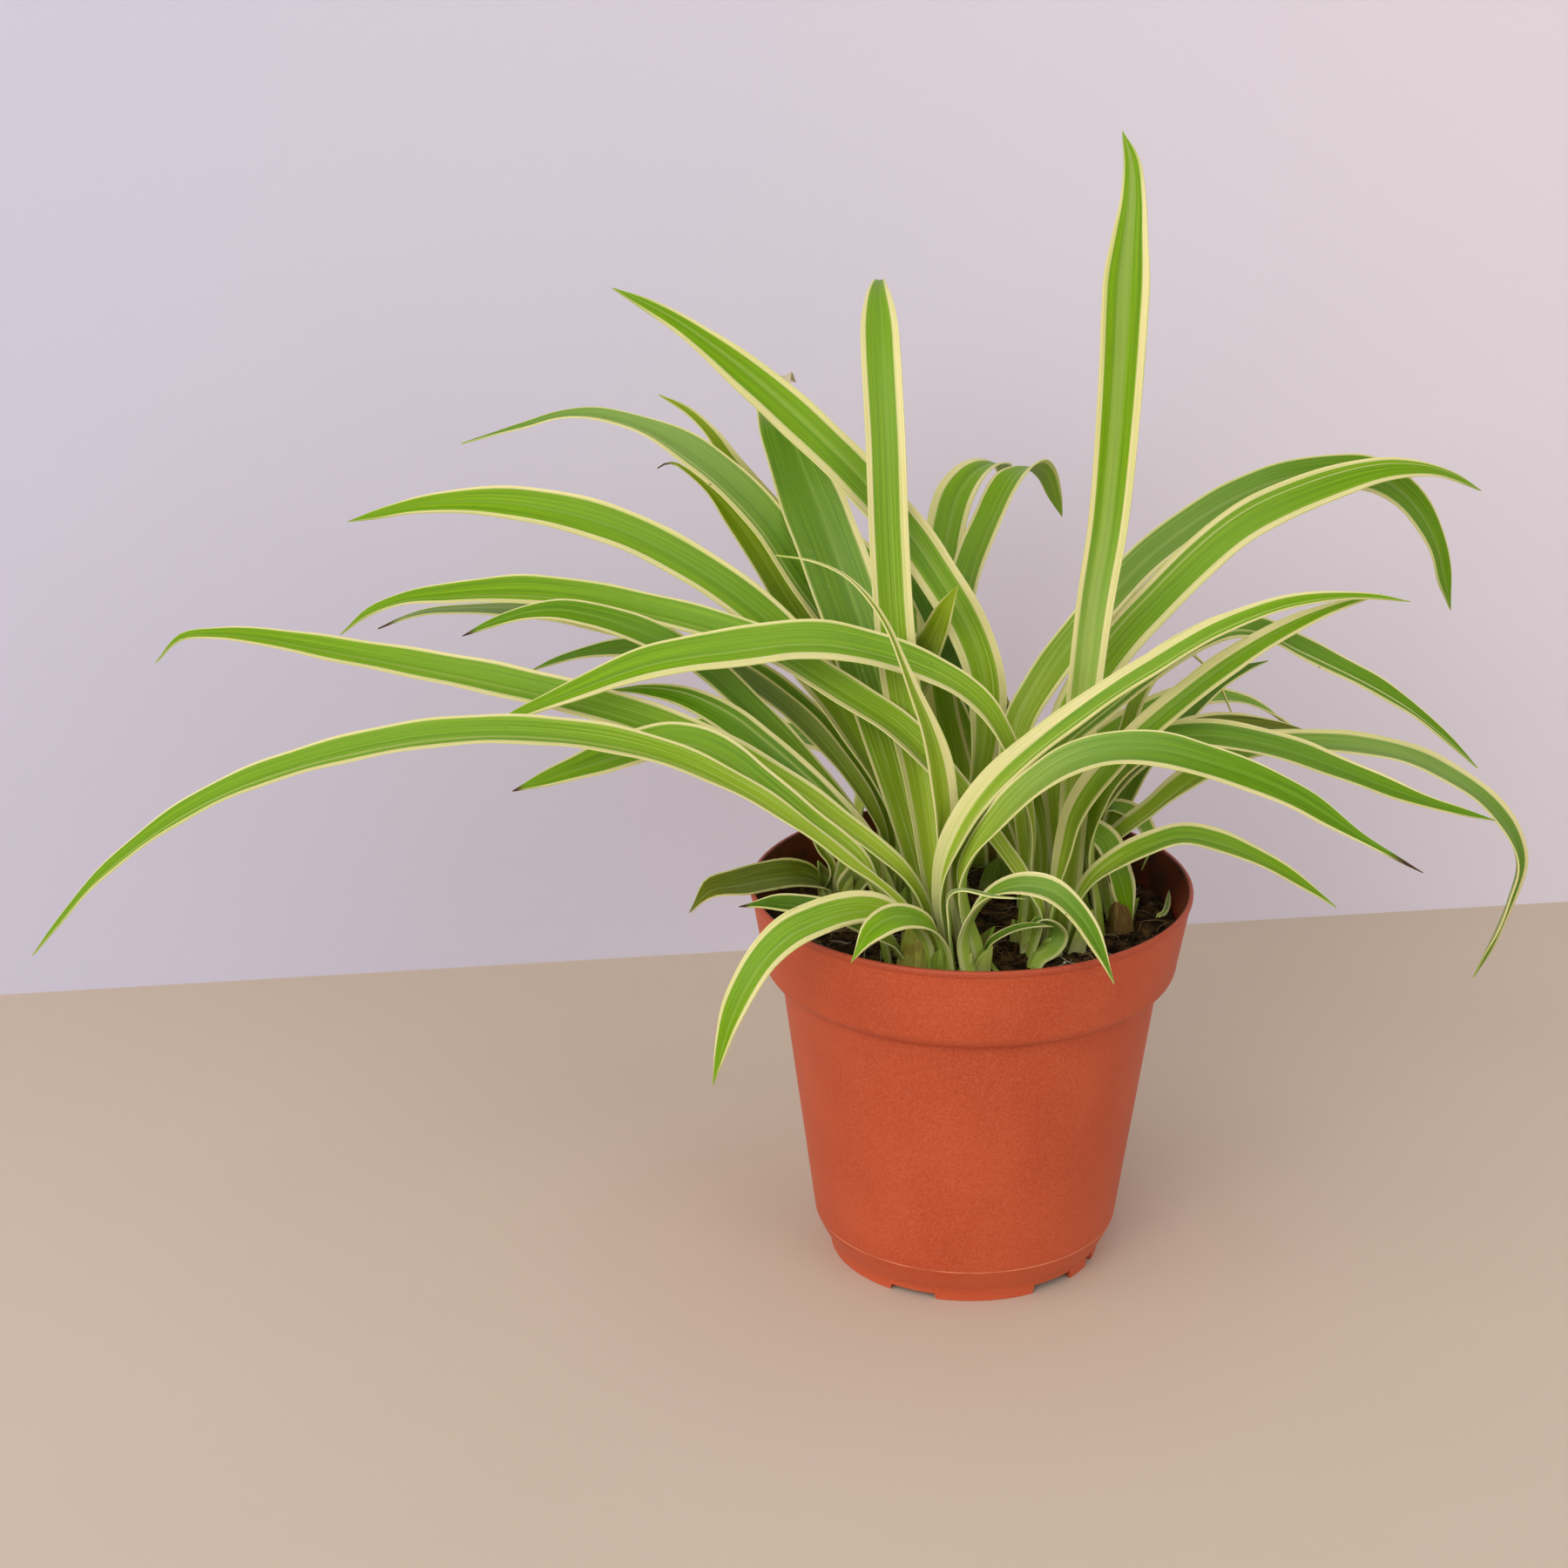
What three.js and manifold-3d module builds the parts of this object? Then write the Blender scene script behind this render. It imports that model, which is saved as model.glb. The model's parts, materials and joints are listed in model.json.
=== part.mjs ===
// Potted spider plant: a moulded plastic nursery pot, its peat soil and the plant's separate leaves.
// Millimetres, +Z up. The origin is on the standing surface, at the centre of the pot.
// Bearings are in degrees about +Z: 0 points along +X, 90 along +Y.

import * as THREE from 'three';
import { mergeVertices } from 'three/addons/utils/BufferGeometryUtils.js';
import Module from 'manifold-3d';

const wasm = await Module();
wasm.setup();

// Driving dimensions of the pot
const RIM_RADIUS = 60;
const POT_HEIGHT = 108;
const WALL = 1.3;
const COLLAR_BOTTOM_RADIUS = 55.8;
const COLLAR_BOTTOM = 84.3;
const COLLAR_STEP_DROP = 8.8;
const COLLAR_EDGE = 0.7;
const BODY_TOP_RADIUS = 50.6;
const BODY_BOTTOM_RADIUS = 41.6;
const BODY_BOTTOM = 9;
const FOOT_RADIUS = 37.4;
const FOOT_HEIGHT = 5;
const FOOT_FLARE = 0.5;
const FLOOR_THICKNESS = 1.6;
const FLOOR_CORNER = 1.6;
const GATE_PAD_RADIUS = 6;
const LIP_HEIGHT = 1.8;
const LIP_PROUD = 0.5;
const POT_SIDES = 72;
const ARC_STEPS = 4;

// Notches under the foot ring and drain holes in the floor
const NOTCH_DEPTH = 1.8;
const NOTCH_REACH = 8;
const NOTCHES = [
  { bearing: 248.5, width: 14 },
  { bearing: 311.5, width: 14.5 },
  { bearing: 338, width: 5 },
];
const DRAIN_HOLE_RADIUS = 3.2;
const DRAIN_HOLE_COUNT = 8;
const DRAIN_CIRCLE_RADIUS = 25;
const HOLE_SIDES = 20;

// Driving dimensions of the soil
const SOIL_LEVEL = 95.5;
const SOIL_LUMP = 0.7;
const BROAD_LUMP = 9;
const FINE_LUMP = 4.2;
const BASE_GAP = 1.1;
const SOIL_SIDES = 48;
const SOIL_RINGS = 8;
const GAP = 0.35;

// Driving dimensions of every leaf
const BLADE_THICKNESS = 0.9;
const TIP_THICKNESS = 0.45;
const STATION_SPACING = 9;
const FEWEST_STATIONS = 6;
const MOST_STATIONS = 22;
const BASE_WIDTH_RATIO = 0.5;
const USUAL_WIDEST = 0.22;
const USUAL_TAPER = 0.4;
const WIDENING_POWER = 0.8;
const TAPER_POWER = 0.5;
const BASE_FOLD = 0.34;
const TIP_FOLD = 0.14;
const TURN_SHARE = 0.35;

const FINISHES = {
  pot: { color: 0xc45634, roughness: 0.55 },
  soil: { color: 0x2e221b, roughness: 0.95 },
  green: { color: 0x5f9a26, roughness: 0.45 },
  dark: { color: 0x3f7d20, roughness: 0.45 },
  pale: { color: 0xb9c877, roughness: 0.5 },
  olive: { color: 0x8a8f33, roughness: 0.5 },
};

// Every leaf: the bearing it grows on, its full width, how far its blade is turned about its own
// length at the middle and at the tip (degrees), and its route from the soil to the tip. Where they
// are not the usual ones, it gives the share of its length where it first reaches full width, the
// share that tapers, and its tone
const LEAVES = [
  {
    name: 'leaf_long_low_left',
    bearing: 188,
    width: 10.5,
    turn: [-24, -24],
    widest: 0.4,
    route: [[-14, -28.8], [-17, -29, 110], [-35, -32, 128], [-58, -35, 146], [-84, -39, 159],
      [-120, -44, 165], [-155, -49, 162], [-193, -54, 150], [-222, -58, 130], [-242, -61, 107]],
  },
  {
    name: 'leaf_long_upper_left',
    bearing: 171,
    width: 11,
    turn: [-32, -32],
    widest: 0.4,
    route: [[-11, -21], [-15, -20, 114], [-36, -17, 132], [-62, -13, 147], [-87, -9, 156],
      [-120, -4, 163], [-168, 4, 169], [-202, 9, 172], [-217, 12, 169], [-223, 13, 162]],
  },
  {
    name: 'leaf_dark_tip_left',
    bearing: 196,
    width: 7.5,
    turn: [-28, -28],
    route: [[-15, -31], [-21, -33, 104], [-29, -35, 110], [-38, -38, 115], [-50, -41, 118],
      [-60, -44, 118]],
  },
  {
    name: 'leaf_over_rim_left',
    bearing: 212,
    width: 11,
    turn: [-26, -26],
    widest: 0.35,
    taper: 0.5,
    route: [[-12, -37], [-13, -38, 109], [-23, -44, 118], [-37, -52, 119], [-49, -60, 115],
      [-58, -66, 103], [-62, -68, 92], [-65, -70, 79]],
  },
  {
    name: 'leaf_small_front_left',
    bearing: 228,
    width: 9,
    turn: [-30, -30],
    widest: 0.5,
    route: [[-6, -40], [-8, -42, 109], [-12, -47, 116], [-19, -54, 120], [-25, -61, 119],
      [-30, -67, 113]],
  },
  {
    name: 'leaf_cream_half_right',
    bearing: 10,
    width: 9.8,
    turn: [37, 37],
    taper: 0.9,
    route: [[-4, -26], [-8, -27, 117], [-3, -26, 134], [7, -24, 148], [30, -20, 167],
      [47, -17, 178], [63, -14, 187], [81, -11, 193], [99, -8, 194], [112, -6, 192]],
  },
  {
    name: 'leaf_under_cream_right',
    bearing: 16,
    width: 8.8,
    turn: [24, 44],
    taper: 0.3,
    route: [[2, -22], [-3, -23, 121], [5, -21, 137], [19, -17, 151], [37, -12, 166], [55, -7, 179],
      [70, -2, 183], [87, 2, 175], [112, 9, 160], [127, 14, 147], [136, 16, 138]],
  },
  {
    name: 'leaf_brown_tip_right',
    bearing: -10,
    width: 11.2,
    turn: [30, 30],
    widest: 0.35,
    route: [[5, -32.6], [-2, -31, 122], [6, -33, 138], [16, -35, 150], [29, -37, 159],
      [45, -40, 162], [62, -43, 159], [80, -46, 153], [98, -49, 143], [114, -52, 135]],
  },
  {
    name: 'leaf_front_arch_right',
    bearing: -28,
    width: 9.5,
    turn: [15, 15],
    widest: 0.4,
    taper: 0.45,
    route: [[3, -40], [-1, -38, 107], [3, -40, 119], [10, -44, 125], [19, -49, 127],
      [26, -52, 123], [32, -55, 115], [37, -58, 105]],
  },
  {
    name: 'leaf_centre_thin',
    bearing: 178,
    width: 8.2,
    turn: [-50, 10],
    taper: 0.6,
    route: [[-8, -19], [-7, -19, 129], [-10, -19, 153], [-17, -19, 172], [-25, -18, 190],
      [-34, -18, 200], [-43, -18, 204], [-52, -17, 205]],
  },
  {
    name: 'leaf_upright_blunt',
    bearing: 95,
    width: 10.4,
    turn: [-0, -0],
    widest: 0.3,
    taper: 0.35,
    route: [[-5, -14], [-9, -11, 111], [-14, -6, 139], [-20, 0, 166], [-23, 6, 195],
      [-25, 14, 229], [-27, 26, 252], [-28, 42, 261], [-28, 58, 260], [-28, 78, 249], [-28, 94, 227]],
  },
  {
    name: 'leaf_wide_dark',
    bearing: 100,
    width: 18,
    turn: [-0, -0],
    widest: 0.4,
    taper: 0.35,
    tone: 'dark',
    route: [[-8, 1], [-11, 2, 108], [-16, 4, 127], [-24, 9, 153], [-32, 17, 175], [-41, 27, 196],
      [-50, 40, 214], [-56, 53, 227], [-56, 66, 231], [-52, 79, 226]],
  },
  {
    name: 'leaf_high_arch_left',
    bearing: 175,
    width: 11.5,
    turn: [-46, -46],
    taper: 0.3,
    route: [[-21, 13], [-20, 13, 116], [-31, 14, 143], [-46, 15, 165], [-57, 16, 177],
      [-77, 18, 191], [-99, 20, 201], [-125, 22, 206], [-148, 24, 205], [-171, 26, 199]],
  },
  {
    name: 'leaf_left_arch',
    bearing: 172,
    width: 10,
    turn: [-30, -30],
    taper: 0.22,
    route: [[15, -19], [18, -18, 107], [10, -15, 120], [-5, -11, 139], [-19, -8, 154],
      [-37, -5, 165], [-58, 2, 175], [-89, 10, 181], [-117, 14, 184], [-141, 17, 182],
      [-161, 18, 178], [-173, 19, 169]],
  },
  {
    name: 'leaf_thin_behind_left',
    bearing: 168,
    width: 7.5,
    turn: [-25, -25],
    route: [[-27, 18], [-25, 18, 114], [-40, 21, 138], [-57, 24, 153], [-76, 28, 162],
      [-96, 33, 167], [-121, 38, 170], [-151, 44, 168], [-168, 48, 163]],
  },
  {
    name: 'leaf_left_broad',
    bearing: 185.6,
    width: 9.2,
    turn: [-36, -36],
    widest: 0.35,
    taper: 0.3,
    route: [[-20, 7.2], [-25, 7, 112], [-39, 5, 131], [-56, 4, 151], [-74, 2, 169], [-92, 0, 179],
      [-111, -2, 184], [-124, -3, 182], [-136, -4, 177]],
  },
  {
    name: 'leaf_left_short',
    bearing: 165,
    width: 8.5,
    turn: [-30, -30],
    taper: 0.32,
    route: [[-22, 27], [-26, 28, 120], [-45, 33, 142], [-63, 38, 154], [-82, 43, 158],
      [-103, 49, 156], [-118, 53, 151], [-126, 55, 147]],
  },
  {
    name: 'leaf_front_sweep_left',
    bearing: 184.3,
    width: 12.5,
    turn: [-34, -50],
    taper: 0.36,
    route: [[13, -8], [15, -8, 130], [3, -9, 161], [-10, -10, 171], [-22, -11, 176],
      [-41, -12, 180], [-64, -14, 178], [-86, -15, 174], [-109, -17, 165], [-128, -19, 157]],
  },
  {
    name: 'leaf_left_mid',
    bearing: 176.3,
    width: 9.4,
    turn: [-42, -42],
    taper: 0.36,
    route: [[-25, -7], [-27, -7, 116], [-38, -6, 131], [-53, -5, 145], [-67, -4, 156],
      [-82, -3, 162], [-97, -2, 162]],
  },
  {
    name: 'leaf_cut_tip_left',
    bearing: 182,
    width: 11.3,
    turn: [-32, -32],
    widest: 0.7,
    taper: 0.2,
    route: [[-22, -22.5], [-28, -25, 121], [-42, -26, 134], [-54, -26, 144], [-62, -26, 151],
      [-69, -26, 155], [-77, -26, 157], [-86, -26, 155], [-107, -25, 147], [-121, -24, 141]],
  },
  {
    name: 'leaf_top_left',
    bearing: 168,
    width: 12.3,
    turn: [-45, -45],
    taper: 0.26,
    route: [[-5, 13], [2, 14, 161], [-14, 16, 194], [-31, 19, 214], [-45, 22, 227], [-64, 25, 243],
      [-82, 27, 256], [-98, 28, 264]],
  },
  {
    name: 'leaf_twisted_left',
    bearing: 172,
    width: 11.2,
    turn: [-46, -5],
    taper: 0.33,
    route: [[-13, 20], [-18, 21, 128], [-31, 23, 162], [-47, 25, 186], [-59, 27, 203],
      [-76, 29, 218], [-92, 31, 226], [-109, 34, 228], [-126, 36, 223], [-141, 38, 218]],
  },
  {
    name: 'leaf_thin_high_left',
    bearing: 167,
    width: 8.5,
    turn: [-28, -28],
    taper: 0.3,
    route: [[-5, 29], [-14, 31, 130], [-29, 34, 159], [-41, 37, 178], [-56, 41, 198],
      [-68, 43, 213], [-77, 46, 224], [-88, 48, 230]],
  },
  {
    name: 'leaf_curl_tip_left',
    bearing: 168,
    width: 8.6,
    turn: [-42, -42],
    route: [[-15, 27], [-23, 29, 125], [-37, 32, 152], [-51, 35, 174], [-63, 37, 193],
      [-76, 40, 208], [-84, 42, 213], [-88, 43, 215]],
  },
  {
    name: 'leaf_short_pointed',
    bearing: 0,
    width: 8,
    turn: [45, 45],
    taper: 0.42,
    route: [[-25, 39], [-32, 42, 107], [-29, 44, 119], [-22, 43, 139], [-16, 31, 156],
      [-11, 14, 173], [-8, 5, 184], [-5, 1, 192]],
  },
  {
    name: 'leaf_back_arch_left',
    bearing: 75,
    width: 11.3,
    turn: [-0, -0],
    taper: 0.28,
    route: [[2, 43], [-8, 50, 143], [-11, 54, 168], [-10, 58, 182], [-7, 64, 197], [-1, 74, 203],
      [6, 86, 201], [7, 100, 190]],
  },
  {
    name: 'leaf_back_arch_right',
    bearing: 60,
    width: 12,
    turn: [-18, -18],
    taper: 0.24,
    route: [[14, 34], [-1, 41, 147], [-4, 46, 171], [-1, 51, 184], [4, 58, 195], [10, 70, 203],
      [17, 80, 202], [24, 92, 184]],
  },
  {
    name: 'leaf_back_left',
    bearing: 130,
    width: 10,
    turn: [-25, -25],
    route: [[0, 46], [0, 58, 128], [-9, 68, 149], [-20, 78, 162], [-33, 90, 171], [-49, 102, 181],
      [-68, 114, 174]],
  },
  {
    name: 'leaf_back_dark',
    bearing: 110,
    width: 12,
    turn: [-10, -10],
    tone: 'dark',
    route: [[16, 16], [17, 19, 109], [10, 21, 134], [1, 24, 155], [-10, 27, 174], [-18, 34, 184],
      [-27, 48, 182]],
  },
  {
    name: 'leaf_tallest',
    bearing: 88,
    width: 12.2,
    turn: [0, 0],
    widest: 0.8,
    taper: 0.18,
    route: [[24, -8], [26, -5, 114], [28, 0, 150], [31, 5, 185], [34, 8, 208], [36, 12, 242],
      [37, 17, 275], [38, 22, 292], [37, 28, 302], [35, 33, 306]],
  },
  {
    name: 'leaf_right_steep',
    bearing: 8,
    width: 8.2,
    turn: [36, 36],
    taper: 0.35,
    route: [[20, -15], [24, -14, 118], [28, -14, 136], [40, -12, 152], [57, -10, 168],
      [73, -8, 180], [91, -5, 189], [105, -3, 193]],
  },
  {
    name: 'leaf_back_right_fall',
    bearing: 25,
    width: 10.5,
    turn: [28, 70],
    taper: 0.2,
    route: [[18, 1], [14, 4, 130], [11, 9, 144], [18, 16, 159], [33, 27, 177], [49, 39, 191],
      [71, 53, 202], [90, 65, 205], [111, 75, 202], [127, 83, 186], [136, 89, 159]],
  },
  {
    name: 'leaf_back_right_long',
    bearing: 30,
    width: 11.5,
    turn: [38, 38],
    widest: 0.35,
    taper: 0.3,
    route: [[26, 4], [24, 10, 146], [35, 18, 166], [49, 28, 180], [70, 40, 197], [90, 52, 204],
      [112, 62, 208], [127, 68, 206], [140, 74, 199]],
  },
  {
    name: 'leaf_small_pointed',
    bearing: 215,
    width: 7,
    turn: [10, 10],
    route: [[15, -27], [23, -21, 101], [21, -23, 106], [19, -24, 108], [15, -27, 106]],
  },
  {
    name: 'leaf_green_down_right',
    bearing: -22,
    width: 9.5,
    turn: [20, 20],
    widest: 0.5,
    taper: 0.2,
    tone: 'dark',
    route: [[33, 3], [29, 5, 113], [30, 4, 120], [33, 3, 124], [37, 1, 118], [41, 0, 106],
      [44, -1, 95]],
  },
  {
    name: 'leaf_low_right',
    bearing: -2,
    width: 8.8,
    turn: [20, 20],
    taper: 0.42,
    route: [[27, -12], [29, -12, 109], [34, -12, 116], [45, -13, 124], [56, -13, 128],
      [70, -14, 125], [84, -14, 118], [97, -14, 109]],
  },
  {
    name: 'leaf_far_right_drop',
    bearing: 6,
    width: 10.5,
    turn: [14, 32],
    taper: 0.26,
    route: [[39, 10], [35, 10, 112], [48, 11, 125], [60, 12, 135], [76, 14, 143], [94, 16, 144],
      [114, 18, 141], [128, 19, 135], [142, 21, 124], [150, 22, 110], [147, 21, 93], [140, 21, 74]],
  },
  {
    name: 'leaf_right_arch',
    bearing: 1,
    width: 9.6,
    turn: [28, 28],
    taper: 0.38,
    route: [[36, -4.3], [32, -4, 124], [39, -4, 143], [51, -4, 152], [65, -4, 153], [83, -3, 149],
      [102, -3, 142], [121, -3, 135], [139, -2, 130]],
  },
  {
    name: 'leaf_right_behind',
    bearing: 10,
    width: 9.2,
    turn: [28, 28],
    taper: 0.35,
    route: [[25, 19], [32, 20, 119], [46, 23, 137], [60, 25, 144], [77, 28, 145], [92, 31, 142]],
  },
  {
    name: 'leaf_right_small',
    bearing: 42,
    width: 7.5,
    turn: [24, 24],
    route: [[31, 23], [37, 29, 111], [47, 37, 131], [60, 49, 142], [71, 59, 148], [83, 70, 149]],
  },
  {
    name: 'leaf_right_into_pot',
    bearing: -10,
    width: 9,
    turn: [10, 10],
    widest: 0.4,
    taper: 0.25,
    tone: 'dark',
    route: [[41, 16], [36, 18, 115], [38, 18, 124], [44, 19, 121], [49, 20, 113], [47, 21, 104]],
  },
  {
    name: 'leaf_right_wisp',
    bearing: 50,
    width: 4.5,
    turn: [20, 20],
    tone: 'pale',
    route: [[28, 28], [37, 39, 114], [46, 50, 145], [56, 62, 154], [67, 75, 144], [75, 84, 127]],
  },
  {
    name: 'leaf_olive_left',
    bearing: 205,
    width: 10,
    turn: [-28, -28],
    tone: 'olive',
    route: [[-41, 10], [-41, 6, 104], [-47, 2, 108], [-55, -3, 109], [-59, -7, 110],
      [-65, -12, 110], [-72, -17, 110], [-75, -21, 106]],
  },
  {
    name: 'plantlet_blade_tall',
    bearing: 80,
    width: 4,
    turn: [0, 0],
    tone: 'pale',
    route: [[-36, 14], [-36, 14, 102], [-35, 16, 108], [-35, 17, 111]],
  },
  {
    name: 'plantlet_blade_thin',
    bearing: 165,
    width: 3,
    turn: [-20, -20],
    tone: 'pale',
    route: [[-42, 15], [-38, 14, 105], [-42, 15, 111], [-45, 16, 117]],
  },
  {
    name: 'plantlet_blade_wide',
    bearing: 20,
    width: 8.5,
    turn: [30, 30],
    route: [[-34, 8], [-33, 8, 102], [-29, 10, 106], [-25, 11, 105]],
  },
  {
    name: 'plantlet_blade_right',
    bearing: 60,
    width: 3.4,
    turn: [0, 0],
    tone: 'pale',
    route: [[-32, 16], [-34, 17, 101], [-33, 19, 105], [-31, 21, 108]],
  },
  {
    name: 'sprout_right',
    bearing: 80,
    width: 2.5,
    turn: [0, 0],
    tone: 'pale',
    route: [[50, 6], [53, 8, 97], [54, 9, 101], [54, 10, 103]],
  },
  {
    name: 'leaf_soil_arch',
    bearing: 0,
    width: 3.2,
    turn: [10, 10],
    tone: 'dark',
    route: [[9, -29], [4, -29, 100], [8, -29, 105], [15, -29, 108], [22, -29, 108]],
  },
  {
    name: 'tendril',
    bearing: 2,
    width: 2.2,
    turn: [0, 0],
    tone: 'pale',
    route: [[-4, -40], [-5, -43, 124], [-1, -47, 125], [6, -50, 125], [14, -51, 125]],
  },
  {
    name: 'leaf_behind_low_left',
    bearing: 140,
    width: 9,
    turn: [-26, -26],
    route: [[-9, 35], [-13, 46, 109], [-29, 60, 119], [-47, 80, 119], [-67, 98, 115],
      [-89, 110, 110], [-107, 118, 95]],
  },
  {
    name: 'leaf_behind_low_right',
    bearing: 60,
    width: 9,
    turn: [26, 26],
    route: [[16, 36], [16, 44, 107], [28, 58, 120], [45, 74, 128], [66, 90, 131], [88, 104, 121],
      [106, 112, 99]],
  },
  {
    name: 'leaf_behind_centre',
    bearing: 92,
    width: 9.5,
    turn: [-10, -10],
    route: [[7, 51], [4, 60, 119], [2, 73, 125], [1, 90, 123], [0, 108, 113], [0, 124, 97]],
  },
  {
    name: 'leaf_behind_mid_left',
    bearing: 104,
    width: 9.5,
    turn: [-12, -12],
    route: [[-8, 51], [-14, 60, 122], [-18, 74, 127], [-21, 92, 124], [-25, 108, 115],
      [-28, 123, 101]],
  },
];

// Height of the lumpy soil surface above the standing surface
function soilHeight(x, y) {
  const broad = Math.sin(x / BROAD_LUMP) * Math.cos(y / BROAD_LUMP);
  const fine = Math.sin((x - y) / FINE_LUMP) * Math.cos(y / FINE_LUMP);
  return SOIL_LEVEL + (SOIL_LUMP * (2 * broad + fine)) / 3;
}

// A closed indexed geometry with only its positions, so that shared corners are one vertex
function welded(geometry) {
  geometry.deleteAttribute('normal');
  geometry.deleteAttribute('uv');
  return mergeVertices(geometry, 1e-4);
}

function toSolid(geometry) {
  const merged = welded(geometry);
  const vertProperties = new Float32Array(merged.attributes.position.array);
  const triVerts = new Uint32Array(merged.index.array);
  return new wasm.Manifold(new wasm.Mesh({ numProp: 3, vertProperties, triVerts }));
}

function fromSolid(solid) {
  const mesh = solid.getMesh();
  const geometry = new THREE.BufferGeometry();
  geometry.setAttribute('position', new THREE.BufferAttribute(mesh.vertProperties, 3));
  geometry.setIndex(new THREE.BufferAttribute(mesh.triVerts, 1));
  return geometry;
}

// A turned shape about +Z from [radius, height] corners
function turned(corners, sides) {
  const profile = corners.map(([radius, height]) => new THREE.Vector2(radius, height));
  return new THREE.LatheGeometry(profile, sides).rotateX(Math.PI / 2);
}

// Inner wall of the pot at each height where its slope changes, from the floor up
const FLOOR_TOP = FOOT_HEIGHT + FLOOR_THICKNESS;
const INNER_WALL = [
  [BODY_BOTTOM_RADIUS - WALL - FLOOR_CORNER, FLOOR_TOP],
  [BODY_BOTTOM_RADIUS - WALL, FLOOR_TOP + 2 * FLOOR_CORNER],
  [BODY_TOP_RADIUS - WALL, COLLAR_BOTTOM - COLLAR_STEP_DROP],
  [COLLAR_BOTTOM_RADIUS - WALL, COLLAR_BOTTOM + COLLAR_EDGE],
  [RIM_RADIUS - WALL, POT_HEIGHT],
];

// The rounded edge where the foot ring turns out into the body
function bodyEdge() {
  const corners = [];
  for (let i = 0; i <= ARC_STEPS; i += 1) {
    const angle = (i / ARC_STEPS) * (Math.PI / 2);
    corners.push([
      THREE.MathUtils.lerp(FOOT_RADIUS + FOOT_FLARE, BODY_BOTTOM_RADIUS, Math.sin(angle)),
      THREE.MathUtils.lerp(BODY_BOTTOM, FOOT_HEIGHT, Math.cos(angle)),
    ]);
  }
  return corners;
}

function potGeometry() {
  const outerWall = [
    [FOOT_RADIUS - WALL, 0],
    [FOOT_RADIUS, 0],
    ...bodyEdge(),
    [BODY_TOP_RADIUS, COLLAR_BOTTOM - COLLAR_STEP_DROP],
    [COLLAR_BOTTOM_RADIUS - COLLAR_EDGE, COLLAR_BOTTOM - COLLAR_EDGE],
    [COLLAR_BOTTOM_RADIUS, COLLAR_BOTTOM],
    [RIM_RADIUS - LIP_PROUD, POT_HEIGHT - LIP_HEIGHT],
    [RIM_RADIUS, POT_HEIGHT - LIP_HEIGHT + LIP_PROUD],
    [RIM_RADIUS, POT_HEIGHT],
  ];
  // A moulding gate pad in the middle of the floor stands level with the foot ring
  const floorUnderside = [
    [0, FLOOR_TOP],
    [0, 0],
    [GATE_PAD_RADIUS, 0],
    [GATE_PAD_RADIUS + FOOT_FLARE, FOOT_HEIGHT],
    [FOOT_RADIUS - WALL, FOOT_HEIGHT],
  ];
  const profile = [...floorUnderside, ...outerWall, ...INNER_WALL.toReversed(), [0, FLOOR_TOP]];
  let solid = toSolid(turned(profile, POT_SIDES));
  for (const notch of footNotches()) {
    solid = solid.subtract(toSolid(notch));
  }
  for (const hole of drainHoles()) {
    solid = solid.subtract(toSolid(hole));
  }
  return fromSolid(solid);
}

// The three notches of each half of the foot ring, as cutting blocks
function footNotches() {
  const blocks = [];
  for (const halfTurn of [0, 180]) {
    for (const { bearing, width } of NOTCHES) {
      const block = new THREE.BoxGeometry(NOTCH_REACH, width, 2 * NOTCH_DEPTH);
      block.translate(FOOT_RADIUS - WALL / 2, 0, 0);
      block.rotateZ(THREE.MathUtils.degToRad(bearing + halfTurn));
      blocks.push(block);
    }
  }
  return blocks;
}

function drainHoles() {
  const holes = [];
  for (let i = 0; i < DRAIN_HOLE_COUNT; i += 1) {
    const depth = 4 * FLOOR_THICKNESS;
    const hole = new THREE.CylinderGeometry(DRAIN_HOLE_RADIUS, DRAIN_HOLE_RADIUS, depth, HOLE_SIDES);
    hole.rotateX(Math.PI / 2);
    hole.translate(DRAIN_CIRCLE_RADIUS, 0, FLOOR_TOP);
    hole.rotateZ((i / DRAIN_HOLE_COUNT) * 2 * Math.PI);
    holes.push(hole);
  }
  return holes;
}

function innerRadius(height) {
  const upper = INNER_WALL.findIndex(([, z]) => z >= height);
  const [lowRadius, lowHeight] = INNER_WALL[upper - 1];
  const [highRadius, highHeight] = INNER_WALL[upper];
  return THREE.MathUtils.mapLinear(height, lowHeight, highHeight, lowRadius, highRadius);
}

// The root ball fills the pot up to the soil level, and its top surface is lumpy
function soilGeometry() {
  const wallCorners = INNER_WALL.filter(([, z]) => z < SOIL_LEVEL);
  const side = wallCorners.map(([radius, z]) => [radius - GAP, z + GAP]);
  const edgeRadius = innerRadius(SOIL_LEVEL - SOIL_LUMP) - 2 * GAP;
  const top = [];
  for (let ring = SOIL_RINGS; ring >= 0; ring -= 1) {
    top.push([(edgeRadius * ring) / SOIL_RINGS, SOIL_LEVEL]);
  }
  const geometry = turned([[0, FLOOR_TOP + GAP], ...side, ...top], SOIL_SIDES);
  const position = geometry.attributes.position;
  for (let i = 0; i < position.count; i += 1) {
    if (position.getZ(i) > SOIL_LEVEL - GAP) {
      position.setZ(i, soilHeight(position.getX(i), position.getY(i)));
    }
  }
  return welded(geometry);
}

function smoothShare(value) {
  return THREE.MathUtils.smoothstep(value, 0, 1);
}

// Blade width at a share of the length: a clasping base, a long even blade and a drawn-out tip
function widthAt(share, { width, widest = USUAL_WIDEST, taper = USUAL_TAPER }) {
  const widening = Math.min(share / widest, 1) ** WIDENING_POWER;
  const narrowing = Math.min((1 - share) / taper, 1) ** TAPER_POWER;
  return width * THREE.MathUtils.lerp(BASE_WIDTH_RATIO, 1, widening) * narrowing;
}

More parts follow.
